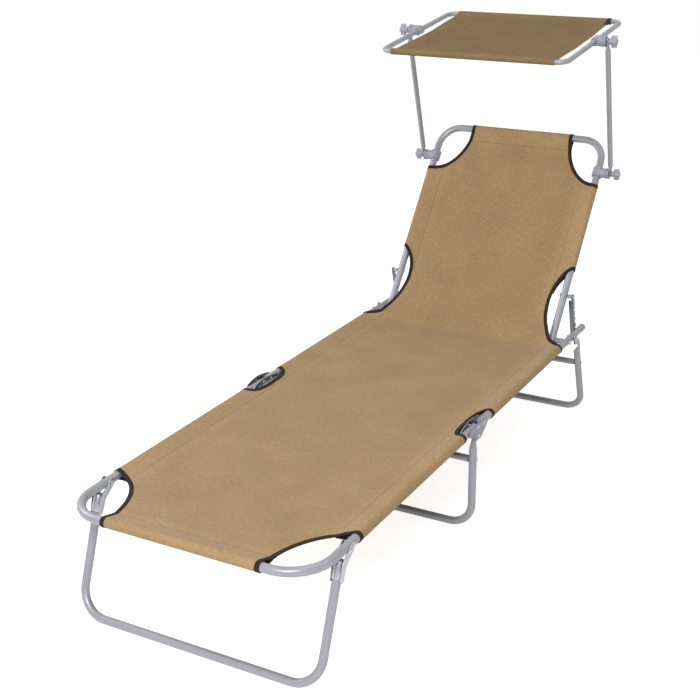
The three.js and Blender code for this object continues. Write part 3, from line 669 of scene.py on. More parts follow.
class Sleeve:
    """The cloth's way round a tube: up from the seam, round, and back under to the seam.
    Distances s are along the cloth from the seam; d is inward from the tube's centre."""

    def __init__(self, radius, seam, lap=0.008, drop=0.0014):
        self.radius, self.seam, self.drop = radius, seam, drop
        self.tilt = math.asin(radius / seam)
        self.slope = math.sqrt(seam**2 - radius**2)
        self.wrap = radius * (math.pi + 2 * self.tilt)
        self.length = 2 * self.slope + self.wrap
        self.fold = self.length / 2
        self.end = self.length + lap

    def point(self, s):
        """(inward, up) from the tube's centre, a distance s along the cloth."""
        top = (self.radius * math.sin(self.tilt), self.radius * math.cos(self.tilt))
        if s <= 0:
            return self.seam - s, 0.0
        if s <= self.slope:
            t = s / self.slope
            return self.seam + (top[0] - self.seam) * t, top[1] * t
        if s <= self.slope + self.wrap:
            a = math.pi / 2 - self.tilt + (s - self.slope) / self.radius
            return self.radius * math.cos(a), self.radius * math.sin(a)
        if s <= self.length:
            t = (s - self.slope - self.wrap) / self.slope
            return top[0] + (self.seam - top[0]) * t, -top[1] + (top[1] - self.drop) * t
        return self.seam + s - self.length, -self.drop

    def upper(self, inward):
        """The distance along the upper layer that is a given way in from the centre."""
        top = self.radius * math.sin(self.tilt)
        if inward >= top:
            return (self.seam - inward) / (self.seam - top) * self.slope
        a = math.acos(max(-1.0, inward / self.radius))
        return self.slope + self.radius * (a - math.pi / 2 + self.tilt)

    def upper_end(self, inward):
        """Where the upper layer ends that is cut a given way in from the centre."""
        return self.upper(inward) if inward > -self.radius else self.fold

    def stations(self):
        """Distances from the seam to the fold that follow the curve."""
        bend = self.fold - self.slope
        rise = [self.slope * t for t in (0, 0.35, 0.7, 1)]
        return rise + [self.slope + bend * i / 8 for i in range(1, 9)]

    def around(self):
        """Distances from the upper seam to the lower one."""
        half = self.stations()
        return half + [self.length - s for s in reversed(half[:-1])]


def eased(t):
    t = min(1.0, max(0.0, t))
    return t * t * (3 - 2 * t)


def through(points, steps=6):
    """A smooth line through control points."""
    line = []
    ends = [points[0], *points, points[-1]]
    for a, b, c, d in zip(ends, ends[1:], ends[2:], ends[3:]):
        for i in range(steps):
            t = i / steps
            line.append(tuple(
                0.5 * (2 * q + (r - p) * t + (2 * p - 5 * q + 4 * r - s) * t**2
                       + (3 * q - p - 3 * r + s) * t**3)
                for p, q, r, s in zip(a, b, c, d)
            ))
    line.append(points[-1])
    return line


def quarter(across, along, power=2.0, steps=14):
    """A rounded quarter from (across, 0) to (0, along)."""
    angles = [math.pi / 2 * i / steps for i in range(steps + 1)]
    return [
        (across * math.cos(a) ** (2 / power), along * math.sin(a) ** (2 / power))
        for a in angles
    ]


class Strip:
    """One cloth, laid out flat: u runs across from the middle and v along the bed."""

    def __init__(self, line, line_start, section, notches, first=None, last=None,
                 half=None, dip=None):
        self.line, self.section, self.notches = line, section, notches
        self.first, self.last, self.half, self.dip = first, last, half, dip
        self.runs = [line_start]
        for a, b in zip(line, line[1:]):
            self.runs.append(self.runs[-1] + (b - a).length)
        self.start, self.stop = self.runs[0], self.runs[-1]
        # Its end bars' seams
        self.low = self.start + (first.seam if first else 0)
        self.high = self.stop - (last.seam if last else 0)

    def plan(self, v):
        """Where a point along the cloth lies along the bed, and how far over the line."""
        if self.first and v < self.low:
            d, h = self.first.point(self.low - v)
            return self.start + d, h
        if self.last and v > self.high:
            d, h = self.last.point(v - self.high)
            return self.stop - d, h
        return v, 0.0

    def carrier(self, v):
        """The point on the line under the cloth and the direction up from it."""
        i = 0
        while i < len(self.runs) - 2 and self.runs[i + 1] < v:
            i += 1
        a, b = self.line[i], self.line[i + 1]
        way = (b - a).normalized()
        point = a + way * (v - self.runs[i])
        ways = []
        for k in (i - 1, i, i + 1):
            k = min(max(k, 0), len(self.line) - 2)
            ways.append((self.line[k + 1] - self.line[k]).normalized())
        t = (v - self.runs[i]) / max(1e-9, self.runs[i + 1] - self.runs[i])
        t = min(1.0, max(0.0, t))
        mean = ways[0].lerp(ways[1], 0.5).lerp(ways[1].lerp(ways[2], 0.5), t).normalized()
        return point, Vector((0, -mean.z, mean.y))

    def edge(self, v):
        """How far out the cloth reaches at a place along the bed."""
        reach = self.half or 1.0
        for notch in self.notches:
            if notch[0][1] <= v <= notch[-1][1]:
                for (x0, v0), (x1, v1) in zip(notch, notch[1:]):
                    if v0 <= v <= v1:
                        t = (v - v0) / max(1e-9, v1 - v0)
                        reach = min(reach, x0 + (x1 - x0) * t)
                        break
        return reach

    def fade(self, along):
        """Nothing sags at the end bars' seams."""
        share = 1.0
        if self.first:
            share *= eased((along - self.low) / 0.14)
        if self.last:
            share *= eased((self.high - along) / 0.14)
        return share

    def place(self, u, v):
        """The point of the cloth that lies at (u, v) on the flat pattern."""
        side = -1 if u < 0 else 1
        along, lift = self.plan(v)
        base, up = self.carrier(along)
        centre, sleeve, strength = self.section(along)
        reach = abs(u)
        height = 0.0
        s = 0.0
        if sleeve and reach > centre - sleeve.seam:
            s = reach - centre + sleeve.seam
            inward, height = sleeve.point(s)
            height *= strength
            reach = centre - inward
        flat = not sleeve or s < sleeve.slope or s > sleeve.length
        if self.dip and flat:
            height += self.dip(side * reach, along) * self.fade(along)
        return Vector((side * reach, base.y, base.z)) + up * (lift + height)

    def kept(self, v):
        """Half the cut's width at a place on the flat pattern, with what goes under."""
        along, _ = self.plan(v)
        centre, sleeve, strength = self.section(along)
        reach = self.edge(along)
        if not sleeve or reach <= centre - sleeve.seam:
            return reach
        out = sleeve.upper_end(centre - reach)
        under = sleeve.end - sleeve.length + out if strength > 0.95 else 0.0
        return centre - sleeve.seam + out + under

    def cut(self):
        """The flat cut's (width, length) and its area, from the pattern alone."""
        low = self.low - (self.first.end if self.first else 0)
        high = self.high + (self.last.end if self.last else 0)
        slices = 4000
        step = (high - low) / slices
        widths = [2 * self.kept(low + step * (i + 0.5)) for i in range(slices)]
        return (max(widths), high - low), sum(widths) * step


def strip_mesh(name, strip, rows):
    """The cloth as a grid whose rows end on its outline."""
    coords, pattern, faces = [], [], []

    def vertex(u, v):
        coords.append(strip.place(u, v))
        pattern.append((u, v))
        return len(coords) - 1

    for side in (-1, 1):
        previous = None
        for v in rows:
            along, _ = strip.plan(v)
            centre, sleeve, strength = strip.section(along)
            reach = strip.edge(along)
            seam = centre - sleeve.seam if sleeve else reach
            flat_end = min(seam, reach)
            columns = [INNER * i / 10 for i in range(10)]
            columns += [INNER + (flat_end - INNER) * i / 8 for i in range(9)]
            upper, lower = [], None
            if sleeve:
                stations = sleeve.stations()
                if reach > seam:
                    share = sleeve.upper_end(centre - reach) / sleeve.fold
                    upper = [seam + s * share for s in stations[1:]]
                    if strength > 0.95:
                        end = seam + sleeve.length
                        lower = [end - s * share for s in reversed(stations)]
                        lower.append(seam + sleeve.end)
                else:
                    upper = [flat_end] * (len(stations) - 1)
            row = [vertex(side * u, v) for u in columns + upper]
            under = [vertex(side * u, v) for u in lower] if lower else None
            if previous:
                for a, b in ((previous[0], row), (previous[1], under)):
                    if a and b and len(a) == len(b):
                        for i in range(len(a) - 1):
                            face = [a[i], a[i + 1], b[i + 1], b[i]]
                            faces.append(face if side > 0 else face[::-1])
            previous = (row, under)
    return sheet_object(name, coords, pattern, faces)


def sheet_object(name, coords, pattern, faces):
    """A mesh with its flat pattern as its UV map, in metres."""
    mesh = bpy.data.meshes.new(name)
    work = bmesh.new()
    layer = work.verts.layers.float_vector.new("pattern")
    points = []
    for co, (u, v) in zip(coords, pattern):
        point = work.verts.new(co)
        point[layer] = Vector((u, v, 0))
        points.append(point)
    for face in faces:
        corners = []
        for i in face:
            if not corners or (coords[i] - corners[-1].co).length > 1e-6:
                corners.append(points[i])
        if len(corners) > 2 and (corners[0].co - corners[-1].co).length <= 1e-6:
            corners.pop()
        if len(corners) > 2:
            work.faces.new(corners)
    bmesh.ops.remove_doubles(work, verts=work.verts, dist=2e-5)
    bmesh.ops.dissolve_degenerate(work, edges=work.edges, dist=1e-6)
    loose = [p for p in work.verts if not p.link_faces]
    bmesh.ops.delete(work, geom=loose, context="VERTS")
    uv = work.loops.layers.uv.new("cloth")
    for face in work.faces:
        face.smooth = True
        for loop in face.loops:
            loop[uv].uv = loop.vert[layer].xy
    work.to_mesh(mesh)
    work.free()
    mesh.attributes.remove(mesh.attributes["pattern"])
    piece = bpy.data.objects.new(name, mesh)
    bpy.context.scene.collection.objects.link(piece)
    return piece


def even_steps(path, step, closed=False):
    """The same path with evenly spaced points."""
    if closed:
        path = [*path, path[0]]
    runs = [0.0]
    for a, b in zip(path, path[1:]):
        runs.append(runs[-1] + math.dist(a, b))
    count = max(2, round(runs[-1] / step))
    points, i = [], 0
    for k in range(count + (0 if closed else 1)):
        at = runs[-1] * k / count
        while i < len(path) - 2 and runs[i + 1] < at:
            i += 1
        t = (at - runs[i]) / max(1e-9, runs[i + 1] - runs[i])
        a, b = path[i], path[i + 1]
        points.append((a[0] + (b[0] - a[0]) * t, a[1] + (b[1] - a[1]) * t))
    return points


def tape_mesh(name, strip, path, side, closed=False):
    """A tape folded over the cloth's edge, along a path on the flat pattern of the right
    side. The cloth lies to the left of the path."""
    width = sizes().binding
    points = even_steps(path, 0.0025, closed)
    count = len(points)
    coords, pattern, faces = [], [], []
    offsets = (-0.0006, 0.15 * width, 0.5 * width, 0.85 * width, width)
    run = 0.0
    for i, (u, v) in enumerate(points):
        a = points[i - 1] if closed or i else points[0]
        b = points[(i + 1) % count] if closed or i < count - 1 else points[-1]
        if i:
            run += math.dist(points[i - 1], points[i])
        way = Vector((b[0] - a[0], b[1] - a[1])).normalized()
        left = Vector((-way.y, way.x))
        for offset in offsets:
            coords.append(strip.place(side * (u + left.x * offset), v + left.y * offset))
            pattern.append((offset, run))
    wide = len(offsets)
    for i in range(count if closed else count - 1):
        for k in range(wide - 1):
            a, b = i * wide + k, ((i + 1) % count) * wide + k
            face = [a, b, b + 1, a + 1]
            faces.append(face if side > 0 else face[::-1])
    piece = sheet_object(name, coords, pattern, faces)
    apply_modifier(piece, "SOLIDIFY", thickness=0.002, offset=0)
    return piece


def dress(piece, kind):
    """Smooth a sheet or a tape and give it its finish."""
    smooth(piece, 50)
    piece.data.materials.append(finish_material(kind))


def cloth_sheet(name, strip, spacing, kind):
    """A finished cloth, with a row of its grid at every spacing along it."""
    piece = strip_mesh(name, strip, row_places(strip, spacing))
    apply_modifier(piece, "SOLIDIFY", thickness=sizes().cloth, offset=0)
    dress(piece, kind)
    return piece


# Rigid pieces


def combine(piece, other, operation):
    """Cut another shape out of a piece (DIFFERENCE), or weld it on (UNION)."""
    apply_modifier(piece, "BOOLEAN", operation=operation, object=other, solver="EXACT")
    choose(other)
    bpy.ops.object.delete()


def drill(piece, places, radius=HOLE):
    """Holes straight across the bed at (y, z) places."""
    for place in places:
        rod = [(end, radius) for end in (-0.33, 0, 0.33)]
        combine(piece, turned(rod, (0, *place), ACROSS, 20), "DIFFERENCE")


def leg_point(leg, distance):
    """A point down a leg's centre line, as (y, z), from where it meets the bed's line."""
    top, lean = leg
    way = Vector((lean, sizes().leg_tube / 2 - HEIGHT)).normalized()
    return BED_START + top + way.x * distance, HEIGHT + way.y * distance


def leg_foot(leg):
    return BED_START + sum(leg), sizes().leg_tube / 2


def make_foot_frame():
    s = sizes()
    end = FOOT_LENGTH + 6 * MM
    points = [bed(-SIDE_X, end), bed(-SIDE_X, 0), bed(SIDE_X, 0), bed(SIDE_X, end)]
    piece = bent_tube(points, s.frame_tube / 2, 0.085, s.wall)
    drill(piece, [yz(HINGE), yz(JOINT["foot_leg_fold"])])
    fit(piece, "foot_frame_tube", "foot_section", "steel", "foot_frame")


def make_foot_leg():
    s = sizes()
    high, foot = leg_point(FOOT_LEG, 0.0155), leg_foot(FOOT_LEG)
    points = [(-SIDE_X, *high), (-SIDE_X, *foot), (SIDE_X, *foot), (SIDE_X, *high)]
    piece = bent_tube(points, s.leg_tube / 2, 0.06, s.wall)
    fit(piece, "foot_leg_tube", "foot_leg", "steel", "foot_leg")


def make_foot_brackets():
    rim = Vector((0, *leg_point(FOOT_LEG, 0.0243)))
    down = (Vector((0, *leg_point(FOOT_LEG, 0.1))) - rim).normalized()

    def taller(point):
        """The sleeve's rim rises to just under the frame tube."""
        off = Vector((0, point.y - rim.y, point.z - rim.z))
        inside = abs(abs(point.x) - SIDE_X) < 9.7 * MM
        if inside and abs(off.dot(down)) < 1.2 * MM and off.length < 13 * MM:
            return point - down * 8 * MM
        return point

    grip = sizes().leg_tube / 2 + 2.6 * MM
    for name, side in SIDES:
        for half in ("outer", "inner"):
            node = f"foot_bracket_{half}_{name}"
            piece = from_node(node, 0.5 * MM, reshape=taller)
            fit(piece, f"{half}_bracket_{name}", "foot_leg", "plate", node)
        x = side * SIDE_X
        pin = rivet(x - grip, x + grip, yz(JOINT["foot_leg_fold"]))
        fit(pin, f"bracket_rivet_{name}", "foot_section", "plate", f"foot_leg_pivot_{name}")


def hinge_plate_point(point):
    """The plate's leaf shape: longer over the seat tube, deeper over the foot tube, and
    arched above the two tubes so that their joint is covered from the side."""
    y, z = point.y - BED_START, point.z
    if z > HEIGHT + 9.4 * MM:
        z += 7 * MM * max(0.0, 1 - ((y - 0.708) / 0.041) ** 2)
    if y > 0.735:
        y = 0.735 + (y - 0.735) * 1.6
    if y < 0.693 and z < HEIGHT + 2 * MM:
        corner = max(0.0, 0.671 - y) / 0.01
        z = min(z, HEIGHT - (8.5 - 7.5 * corner**2) * MM - max(0.0, y - 0.67) * 0.15)
    return Vector((point.x, BED_START + y, z))


def make_saddle(name, side):
    """The folded top that joins a hinge's two plates over the seat tube."""
    start, stop, sheet = 0.7285, 0.764, 1.5 * MM
    begin()
    bpy.ops.mesh.primitive_circle_add(
        vertices=36, radius=sizes().frame_tube / 2 + PLAY + sheet,
        location=bed(side * SIDE_X, start), rotation=(math.radians(90), 0, 0),
    )
    bpy.ops.object.transform_apply(location=True, rotation=True, scale=True)
    piece = bpy.context.object
    edit_all(piece)
    bpy.ops.mesh.bisect(
        plane_co=bed(0, 0, HEIGHT + 1.5 * MM), plane_no=(0, 0, 1), clear_inner=True
    )
    bpy.ops.mesh.select_all(action="SELECT")
    for step in (1 * MM, stop - start - 2 * MM, 1 * MM):
        bpy.ops.mesh.extrude_region_move(TRANSFORM_OT_translate={"value": (0, step, 0)})
    face_out()
    apply_modifier(piece, "SOLIDIFY", thickness=sheet, offset=-1)
    break_edges(piece, 0.35 * MM, 50)
    fit(piece, f"hinge_saddle_{name}", "seat", "plate")


def make_hinges():
    grip = sizes().frame_tube / 2 + 2.1 * MM
    pins = {
        "foot_hinge_pin": yz(HINGE), "seat_rivet": SEAT_RIVET,
        "middle_leg_pivot": yz(JOINT["middle_leg_fold"]),
    }
    cuts = [BED_START + 0.67 + 0.0055 * i for i in range(15)]
    for name, side in SIDES:
        # The outer plates get the darker, duller zinc
        for half, finish in (("outer", "dull_zinc_steel"), ("inner", None)):
            node = f"hinge_plate_{half}_{name}"
            piece = from_node(node, 0.4 * MM, reshape=hinge_plate_point, cuts=cuts)
            fit(piece, f"{half}_plate_{name}", "seat", "plate", node, finish=finish)
        make_saddle(name, side)
        x = side * SIDE_X
        for label, place in pins.items():
            pin = rivet(x - grip, x + grip, place)
            fit(pin, f"{label}_shown_{name}", "seat", "plate", f"{label}_{name}")


def make_seat_tubes():
    s = sizes()
    radius = s.frame_tube / 2
    start = FOOT_LENGTH + 20 * MM
    for name, side in SIDES:
        x = side * SIDE_X
        run = TubeRun(bed(x, start), (0, 1, 0), radius)
        run.straight(bed(x, (start + SEAT_END) / 2))
        run.straight(bed(x, SEAT_END))
        piece = run.done(s.wall)
        drill(piece, [SEAT_RIVET, yz(JOINT["rear_leg_fold"])])
        drill(piece, [yz(BACK)], BOLT_HOLE)
        drill(piece, [STUD])
        fit(piece, f"seat_side_tube_{name}", "seat", "steel", f"seat_tube_{name}")
        cap = turned(
            [
                (0, radius - s.wall - 0.4 * MM), (0.3 * MM, radius - 0.3 * MM),
                (0.7 * MM, radius), (3.2 * MM, radius), (4.3 * MM, radius - 0.8 * MM),
                (4.9 * MM, radius - 2.4 * MM), (5.1 * MM, radius - 5 * MM),
            ],
            bed(x, SEAT_END + PLAY), (0, 1, 0), TUBE_SIDES,
        )
        fit(cap, f"end_cap_{name}", "seat", "cap", f"tube_cap_{name}")


def make_middle_leg():
    radius = sizes().leg_tube / 2
    half = SIDE_X + 0.5 * MM
    y, top = BED_START + FOOT_LENGTH, JOINT["middle_leg_fold"]
    # The flattened top: place along Y and Z, half thickness across, half width along
    shape = [
        (top.y, top.z + 5.9 * MM, 4.3, 1.4), (top.y, top.z + 5.2 * MM, 4.8, 3.1),
        (top.y, top.z + 3.6 * MM, 5.0, 4.8), (top.y, top.z + 1.6 * MM, 5.0, 5.8),
        (top.y, top.z - 1 * MM, 5.0, 6.0), (top.y - 1.5 * MM, top.z - 12 * MM, 5.0, 6.2),
        (y + 1 * MM, top.z - 20 * MM, 6.2, 7.4), (y + 0.3 * MM, top.z - 27 * MM, 8.0, 8.6),
        (y, top.z - 34 * MM, 9.0, 9.0),
    ]

    def post(side, items):
        return [((side * half, *place), across, width) for *place, across, width in items]

    run = TubeRun((-half, *shape[0][:2]), (0, 0, -1), radius)
    run.rings(post(-1, shape))
    run.bend((-half, y, radius), (half, y, radius), 0.055)
    run.bend((half, y, radius), (half, y, shape[-1][1]), 0.055)
    run.rings(post(1, reversed(shape)))
    piece = run.done()
    brace = (y, MIDDLE_BRACE_Z)
    drill(piece, [yz(top), brace])
    fit(piece, "middle_leg_tube", "middle_leg", "steel", "middle_leg")
    make_brace("middle", half, brace)


def make_brace(name, half, centre):
    """A leg's cross tube, with a rivet through the leg at each end."""
    s = sizes()
    radius, edge = s.brace_tube / 2, 0.8 * MM
    end = half - s.leg_tube / 2 - 0.5 * MM
    bore = end - s.leg_tube / 2 - 4.3 * MM
    profile = [(-end, radius - edge), (edge - end, radius), (0, radius),
               (end - edge, radius), (end, radius - edge)]
    piece = turned(profile, (0, *centre), ACROSS, 28)
    for _, side in SIDES:
        rod = [(x, HOLE) for x in sorted((side * bore, side * (end + 0.01)))]
        combine(piece, turned(rod, (0, *centre), ACROSS, 20), "DIFFERENCE")
    body = f"{name}_leg"
    fit(piece, f"{name}_brace_tube", body, "steel", f"{name}_brace")
    for label, side in SIDES:
        pin = outer_rivet(side, half - s.leg_tube - 4.3 * MM,
                          half + s.leg_tube / 2 + PLAY, centre)
        fit(pin, f"{name}_brace_pin_{label}", body, "plate", f"{name}_brace_rivet_{label}")


def make_rear_leg():
    s = sizes()
    radius = s.leg_tube / 2
    half = SIDE_X + 5 * MM
    pivot, foot = JOINT["rear_leg_fold"], leg_foot(REAR_LEG)
    bend_at = leg_point(REAR_LEG, 0.024)
    way = Vector((bend_at[0] - pivot.y, bend_at[1] - pivot.z)).normalized()
    tab_x = half + radius - 2.15 * MM
    # Distance past the pivot, half thickness and half width of the tab
    shape = [(-8.9, 1.6, 1.8), (-8.2, 2.0, 4.2), (-6.2, 2.1, 6.6), (-3.2, 2.1, 8.4),
             (0, 2.1, 9.0), (10, 2.1, 8.8), (20, 2.1, 8.4)]
    neck = [(0.036, 2.4, 8.4), (0.043, 5.0, 8.7), (0.05, 7.6, 9.0), (0.056, 9.0, 9.0)]

    def tab(side, items):
        return [
            ((side * tab_x, pivot.y + way.x * past * MM, pivot.z + way.y * past * MM),
             across, width)
            for past, across, width in items
        ]

    def taper(side, items):
        return [
            ((side * (half + radius - across * MM), *leg_point(REAR_LEG, down)),
             across, width)
            for down, across, width in items
        ]

    run = TubeRun(tab(-1, shape)[0][0], (0, way.x, way.y), radius)
    run.rings(tab(-1, shape))
    run.bend((-tab_x, *bend_at), (-tab_x, *leg_point(REAR_LEG, 0.05)), 0.016, 6)
    run.rings(taper(-1, neck))
    run.bend((-half, *foot), (half, *foot), 0.05)
    run.bend((half, *foot), (half, *leg_point(REAR_LEG, 0.056)), 0.05)
    run.rings(taper(1, reversed(neck)))
    run.bend((tab_x, *bend_at), (tab_x, pivot.y, pivot.z), 0.016, 6)
    run.rings(tab(1, reversed(shape)))
    piece = run.done()
    top, lean = REAR_LEG
    share = (HEIGHT - REAR_BRACE_Z) / (HEIGHT - radius)
    brace = (BED_START + top + lean * share, REAR_BRACE_Z)
    drill(piece, [yz(pivot), brace])
    fit(piece, "rear_leg_tube", "rear_leg", "steel", "rear_leg")
    make_brace("rear", half, brace)
    inner, outer = SIDE_X - s.frame_tube / 2 - PLAY, half + radius + PLAY
    for name, side in SIDES:
        pin = rivet(side * inner, side * outer, yz(pivot))
        fit(pin, f"rear_leg_rivet_{name}", "seat", "plate", f"rear_leg_pivot_{name}")


def make_backrest():
    s = sizes()
    radius = s.frame_tube / 2
    points = [
        back(BACK_X, -0.012), back(BACK_X, BACK_LENGTH), back(-BACK_X, BACK_LENGTH),
        back(-BACK_X, -0.012),
    ]
    piece = bent_tube(points, radius, 0.06, s.wall)
    drill(piece, [yz(BACK)], BOLT_HOLE)
    drill(piece, [yz(JOINT["adjuster_swing_left"])])
    fit(piece, "backrest_tube", "backrest", "steel", "backrest_frame")
    near, far = BACK_X + radius + PLAY, SIDE_X - radius - PLAY
    length, wide, edge = far - near, 7.5 * MM, 0.8 * MM
    half = [(0, wide - edge), (edge, wide), (length / 2 - 2 * MM, wide),
            (length / 2 - 1.5 * MM, wide - 0.4 * MM)]
    profile = half + [(length - d, r) for d, r in reversed(half)]
    for name, side in SIDES:
        low = side * (BACK_X - radius - PLAY)
        high = side * (SIDE_X + radius + PLAY)
        bolt = rivet(low, high, yz(BACK), 4 * MM, 7 * MM, 3.8 * MM)
        fit(bolt, f"backrest_bolt_{name}", "seat", "plate", f"backrest_pivot_{name}")
        way = ACROSS * side
        spacer = turned(profile, (side * near, *yz(BACK)), way, 28)
        rod = [(0.2, BOLT_HOLE), (0.33, BOLT_HOLE)]
        combine(spacer, turned(rod, (0, *yz(BACK)), way, 24), "DIFFERENCE")
        fit(spacer, f"backrest_bush_{name}", "seat", "plastic", f"backrest_spacer_{name}")


def bar_lip(side, pin):
    """The folded lip along a notched bar's plain edge, which stiffens it."""
    lean = math.radians(-73.5)
    way = Vector((0, math.cos(lean), math.sin(lean)))
    out = Vector((0, -way.z, way.y))
    middle = pin - out * 6.25 * MM + way * 74 * MM
    lip = block((9 * MM, 132 * MM, 1.5 * MM), (0, 0, 0), 2)
    for vertex in lip.data.vertices:
        x, y, z = vertex.co
        # Its corners are clipped at both ends, on the free side
        if x * side < -4 * MM and abs(y) > 60 * MM:
            y *= 0.93
        vertex.co = Vector((side * 0.2605 + x, *yz(middle))) + way * y + out * z
    break_edges(lip, 0.5 * MM, 40)
    edit_all(lip)
    face_out()
    return lip


def make_adjusters():
    radius = sizes().frame_tube / 2
    start = BACK_X - radius - PLAY
    grip = BAR_X - start
    near, far = 2 * radius + 2 * PLAY, grip - 4.6 * MM
    head = domed_head(5 * MM, 2 * MM, SHANK)
    collar = [(near, SHANK), (near, 4.6 * MM), (near + 0.5 * MM, 5 * MM),
              (far - 0.5 * MM, 5 * MM), (far, 4.6 * MM), (far, SHANK)]
    profile = head + collar + [(grip - d, r) for d, r in reversed(head)]
    for name, side in SIDES:
        node = f"adjuster_bar_{name}"
        place = JOINT[f"adjuster_swing_{name}"]
        bar = from_node(node, 0.6 * MM)
        bar = joined([bar, bar_lip(side, place)])
        fit(bar, f"notched_bar_{name}", f"adjuster_{name}", "plate", node,
            finish="dull_zinc_steel")
        pin = turned(profile, (side * start, *yz(place)), ACROSS * side, 24)
        fit(pin, f"notched_bar_pin_{name}", "backrest", "plate", f"adjuster_pin_{name}")
        peg = outer_rivet(side, BAR_X, SIDE_X + radius + PLAY, STUD)
        fit(peg, f"notched_bar_stud_{name}", "seat", "plate", f"adjuster_stud_{name}")


def make_arms():
    radius = sizes().arm_tube / 2
    length = (ARM_HEAD - ARM_FOOT).length
    # Distance past the pivot, half thickness and half width of an arm's end
    shape = [(-8.3, 1.9, 1.8), (-7.4, 2.3, 4.3), (-5.2, 2.5, 6.7), (-2.2, 2.5, 8.2),
             (1, 2.5, 8.5), (9, 2.5, 8.5), (14, 3.1, 8.2), (20, 5.0, 7.4),
             (26, radius / MM, radius / MM)]
    shape = [(past * MM, across, width) for past, across, width in shape]
    shape += [(length - past, across, width) for past, across, width in reversed(shape)]
    for name, side in SIDES:
        foot = Vector((side * ARM_X, *yz(ARM_FOOT)))
        rings = [(foot + ARM_WAY * past, across, width) for past, across, width in shape]
        run = TubeRun(rings[0][0], ARM_WAY, radius)
        run.rings(rings)
        piece = run.done()
        drill(piece, [yz(ARM_FOOT), yz(ARM_HEAD)], CLAMP_HOLE)
        fit(piece, f"arm_tube_{name}", "canopy_arms", "steel", f"canopy_arm_{name}")


def make_canopy_frame():
    run = TubeRun(canopy(CANOPY_X, 0), CANOPY_WAY, sizes().canopy_tube / 2)
    corners = [
        canopy(CANOPY_X, CANOPY_REAR), canopy(-CANOPY_X, CANOPY_REAR),
        canopy(-CANOPY_X, CANOPY_FRONT), canopy(CANOPY_X, CANOPY_FRONT),
        canopy(CANOPY_X, 0),
    ]
    for at, after in zip(corners, corners[1:]):
        run.bend(at, after, 0.026)
    run.straight(corners[-1])
    fit(run.done(closed=True), "canopy_tube", "canopy", "steel", "canopy_frame")


def make_clamp(label, name, side, tube_x, tube_radius, centre, way, body):
    """A moulded collar round the tube with a ribbed drum that the arm turns against."""
    bore = tube_radius + PLAY
    outer, half, edge = bore + 4.5 * MM, 13 * MM, 0.9 * MM
    middle, out = Vector((side * tube_x, *yz(centre))), ACROSS * side
    collar = turned(
        [(-half, outer - edge), (edge - half, outer), (0, outer), (half - edge, outer),
         (half, outer - edge)],
        middle, way, 40,
    )
    face = ARM_X - 2.8 * MM - tube_x
    rib, drum = 14.5 * MM, 13 * MM
    profile = [(0.5 * MM, drum)]
    for start in (face - 10 * MM, face - 3 * MM):
        profile += [(start, drum), (start + 0.2 * MM, rib - 0.5 * MM),
                    (start + 0.7 * MM, rib), (start + 2.3 * MM, rib),
                    (start + 2.8 * MM, rib - 0.5 * MM)]
        if start < face - 5 * MM:
            profile.append((start + 3 * MM, drum))
    profile.append((face, rib - 1.2 * MM))
    profile = [p for p in profile if p[0] >= 0.5 * MM]
    piece = turned(profile, middle, out, 40)
    combine(piece, collar, "UNION")
    combine(piece, turned([(-0.04, bore), (0.04, bore)], middle, way, 36), "DIFFERENCE")
    # The knob's stud goes 20.3 mm deep from the arm's outside
    deep = ARM_X + 2.8 * MM - 20.3 * MM - tube_x
    hole = [(deep, CLAMP_HOLE), (face + 0.01, CLAMP_HOLE)]
    combine(piece, turned(hole, middle, out, 24), "DIFFERENCE")
    fit(piece, f"{label}_collar_{name}", body, "plastic", f"{label}_clamp_{name}")


def make_knob(label, name, side, centre):
    """A wing knob: a turned hub and boss, two moulded wings and its stud."""
    out = ACROSS * side
    origin = Vector((side * (ARM_X + 2.8 * MM), *yz(centre)))
    hub = turned(
        [(-19.8 * MM, 2.5 * MM), (-19.3 * MM, 3 * MM), (0, 3 * MM), (0, 7.4 * MM),
         (0.6 * MM, 8 * MM), (14 * MM, 8 * MM), (21 * MM, 7.7 * MM),
         (22.4 * MM, 6.8 * MM), (23 * MM, 5 * MM)],
        origin, out, 32,
    )
    middle, half = origin + out * 13.5 * MM, 14.8 * MM
    wings = block((15 * MM, 9 * MM, 2 * half), middle, 3)
    for vertex in wings.data.vertices:
        off = vertex.co - middle
        share = abs(off.z) / half
        # The wings thin towards their tips and lean out from the arm
        off.y *= 1 - 0.45 * share
        if off.x * side < 0:
            off.x += side * 1.2 * MM * share
        vertex.co = middle + off
    break_edges(wings, 1.6 * MM, 40, 3)
    combine(hub, wings, "UNION")
    node = f"{label}_knob_{name}"
    fit(hub, f"{label}_wing_knob_{name}", node, "plastic", node)


def make_clamps():
    s = sizes()
    for name, side in SIDES:
        make_clamp("lower", name, side, BACK_X, s.frame_tube / 2, ARM_FOOT, BACK_WAY,
                   "backrest")
        make_clamp("upper", name, side, CANOPY_X, s.canopy_tube / 2, ARM_HEAD, CANOPY_WAY,
                   "canopy")
        make_knob("lower", name, side, ARM_FOOT)
        make_knob("upper", name, side, ARM_HEAD)


# Cloths


def ripple(x, along, seam):
    """Small puckers that the seam's stitches draw in the cloth beside it."""
    near = max(0.0, 1 - abs(abs(x) - seam) / 0.03)
    return 0.00035 * near * near * math.sin(along * 260 + math.sin(along * 41) * 2)


def dip(x, along):
    """How the stretched cloth lies off its plane: sagging, with slow waves and puckers."""
    narrowing = eased((along - 1.0) / 0.38)
    seam = SEAT_SEAM_X - (SEAT_SEAM_X - BACK_SEAM_X) * narrowing
    across = max(0.0, 1 - (x / seam) ** 2)
    slow = math.sin(along * 9.0 + x * 4.0) * math.sin(x * 11 + 1.0) * 0.0006
    near = SEAT_SEAM_X if along < SLEEVES_PART else BACK_SEAM_X
    return -sizes().sag * across ** 0.8 + slow * across + ripple(x, along, near)


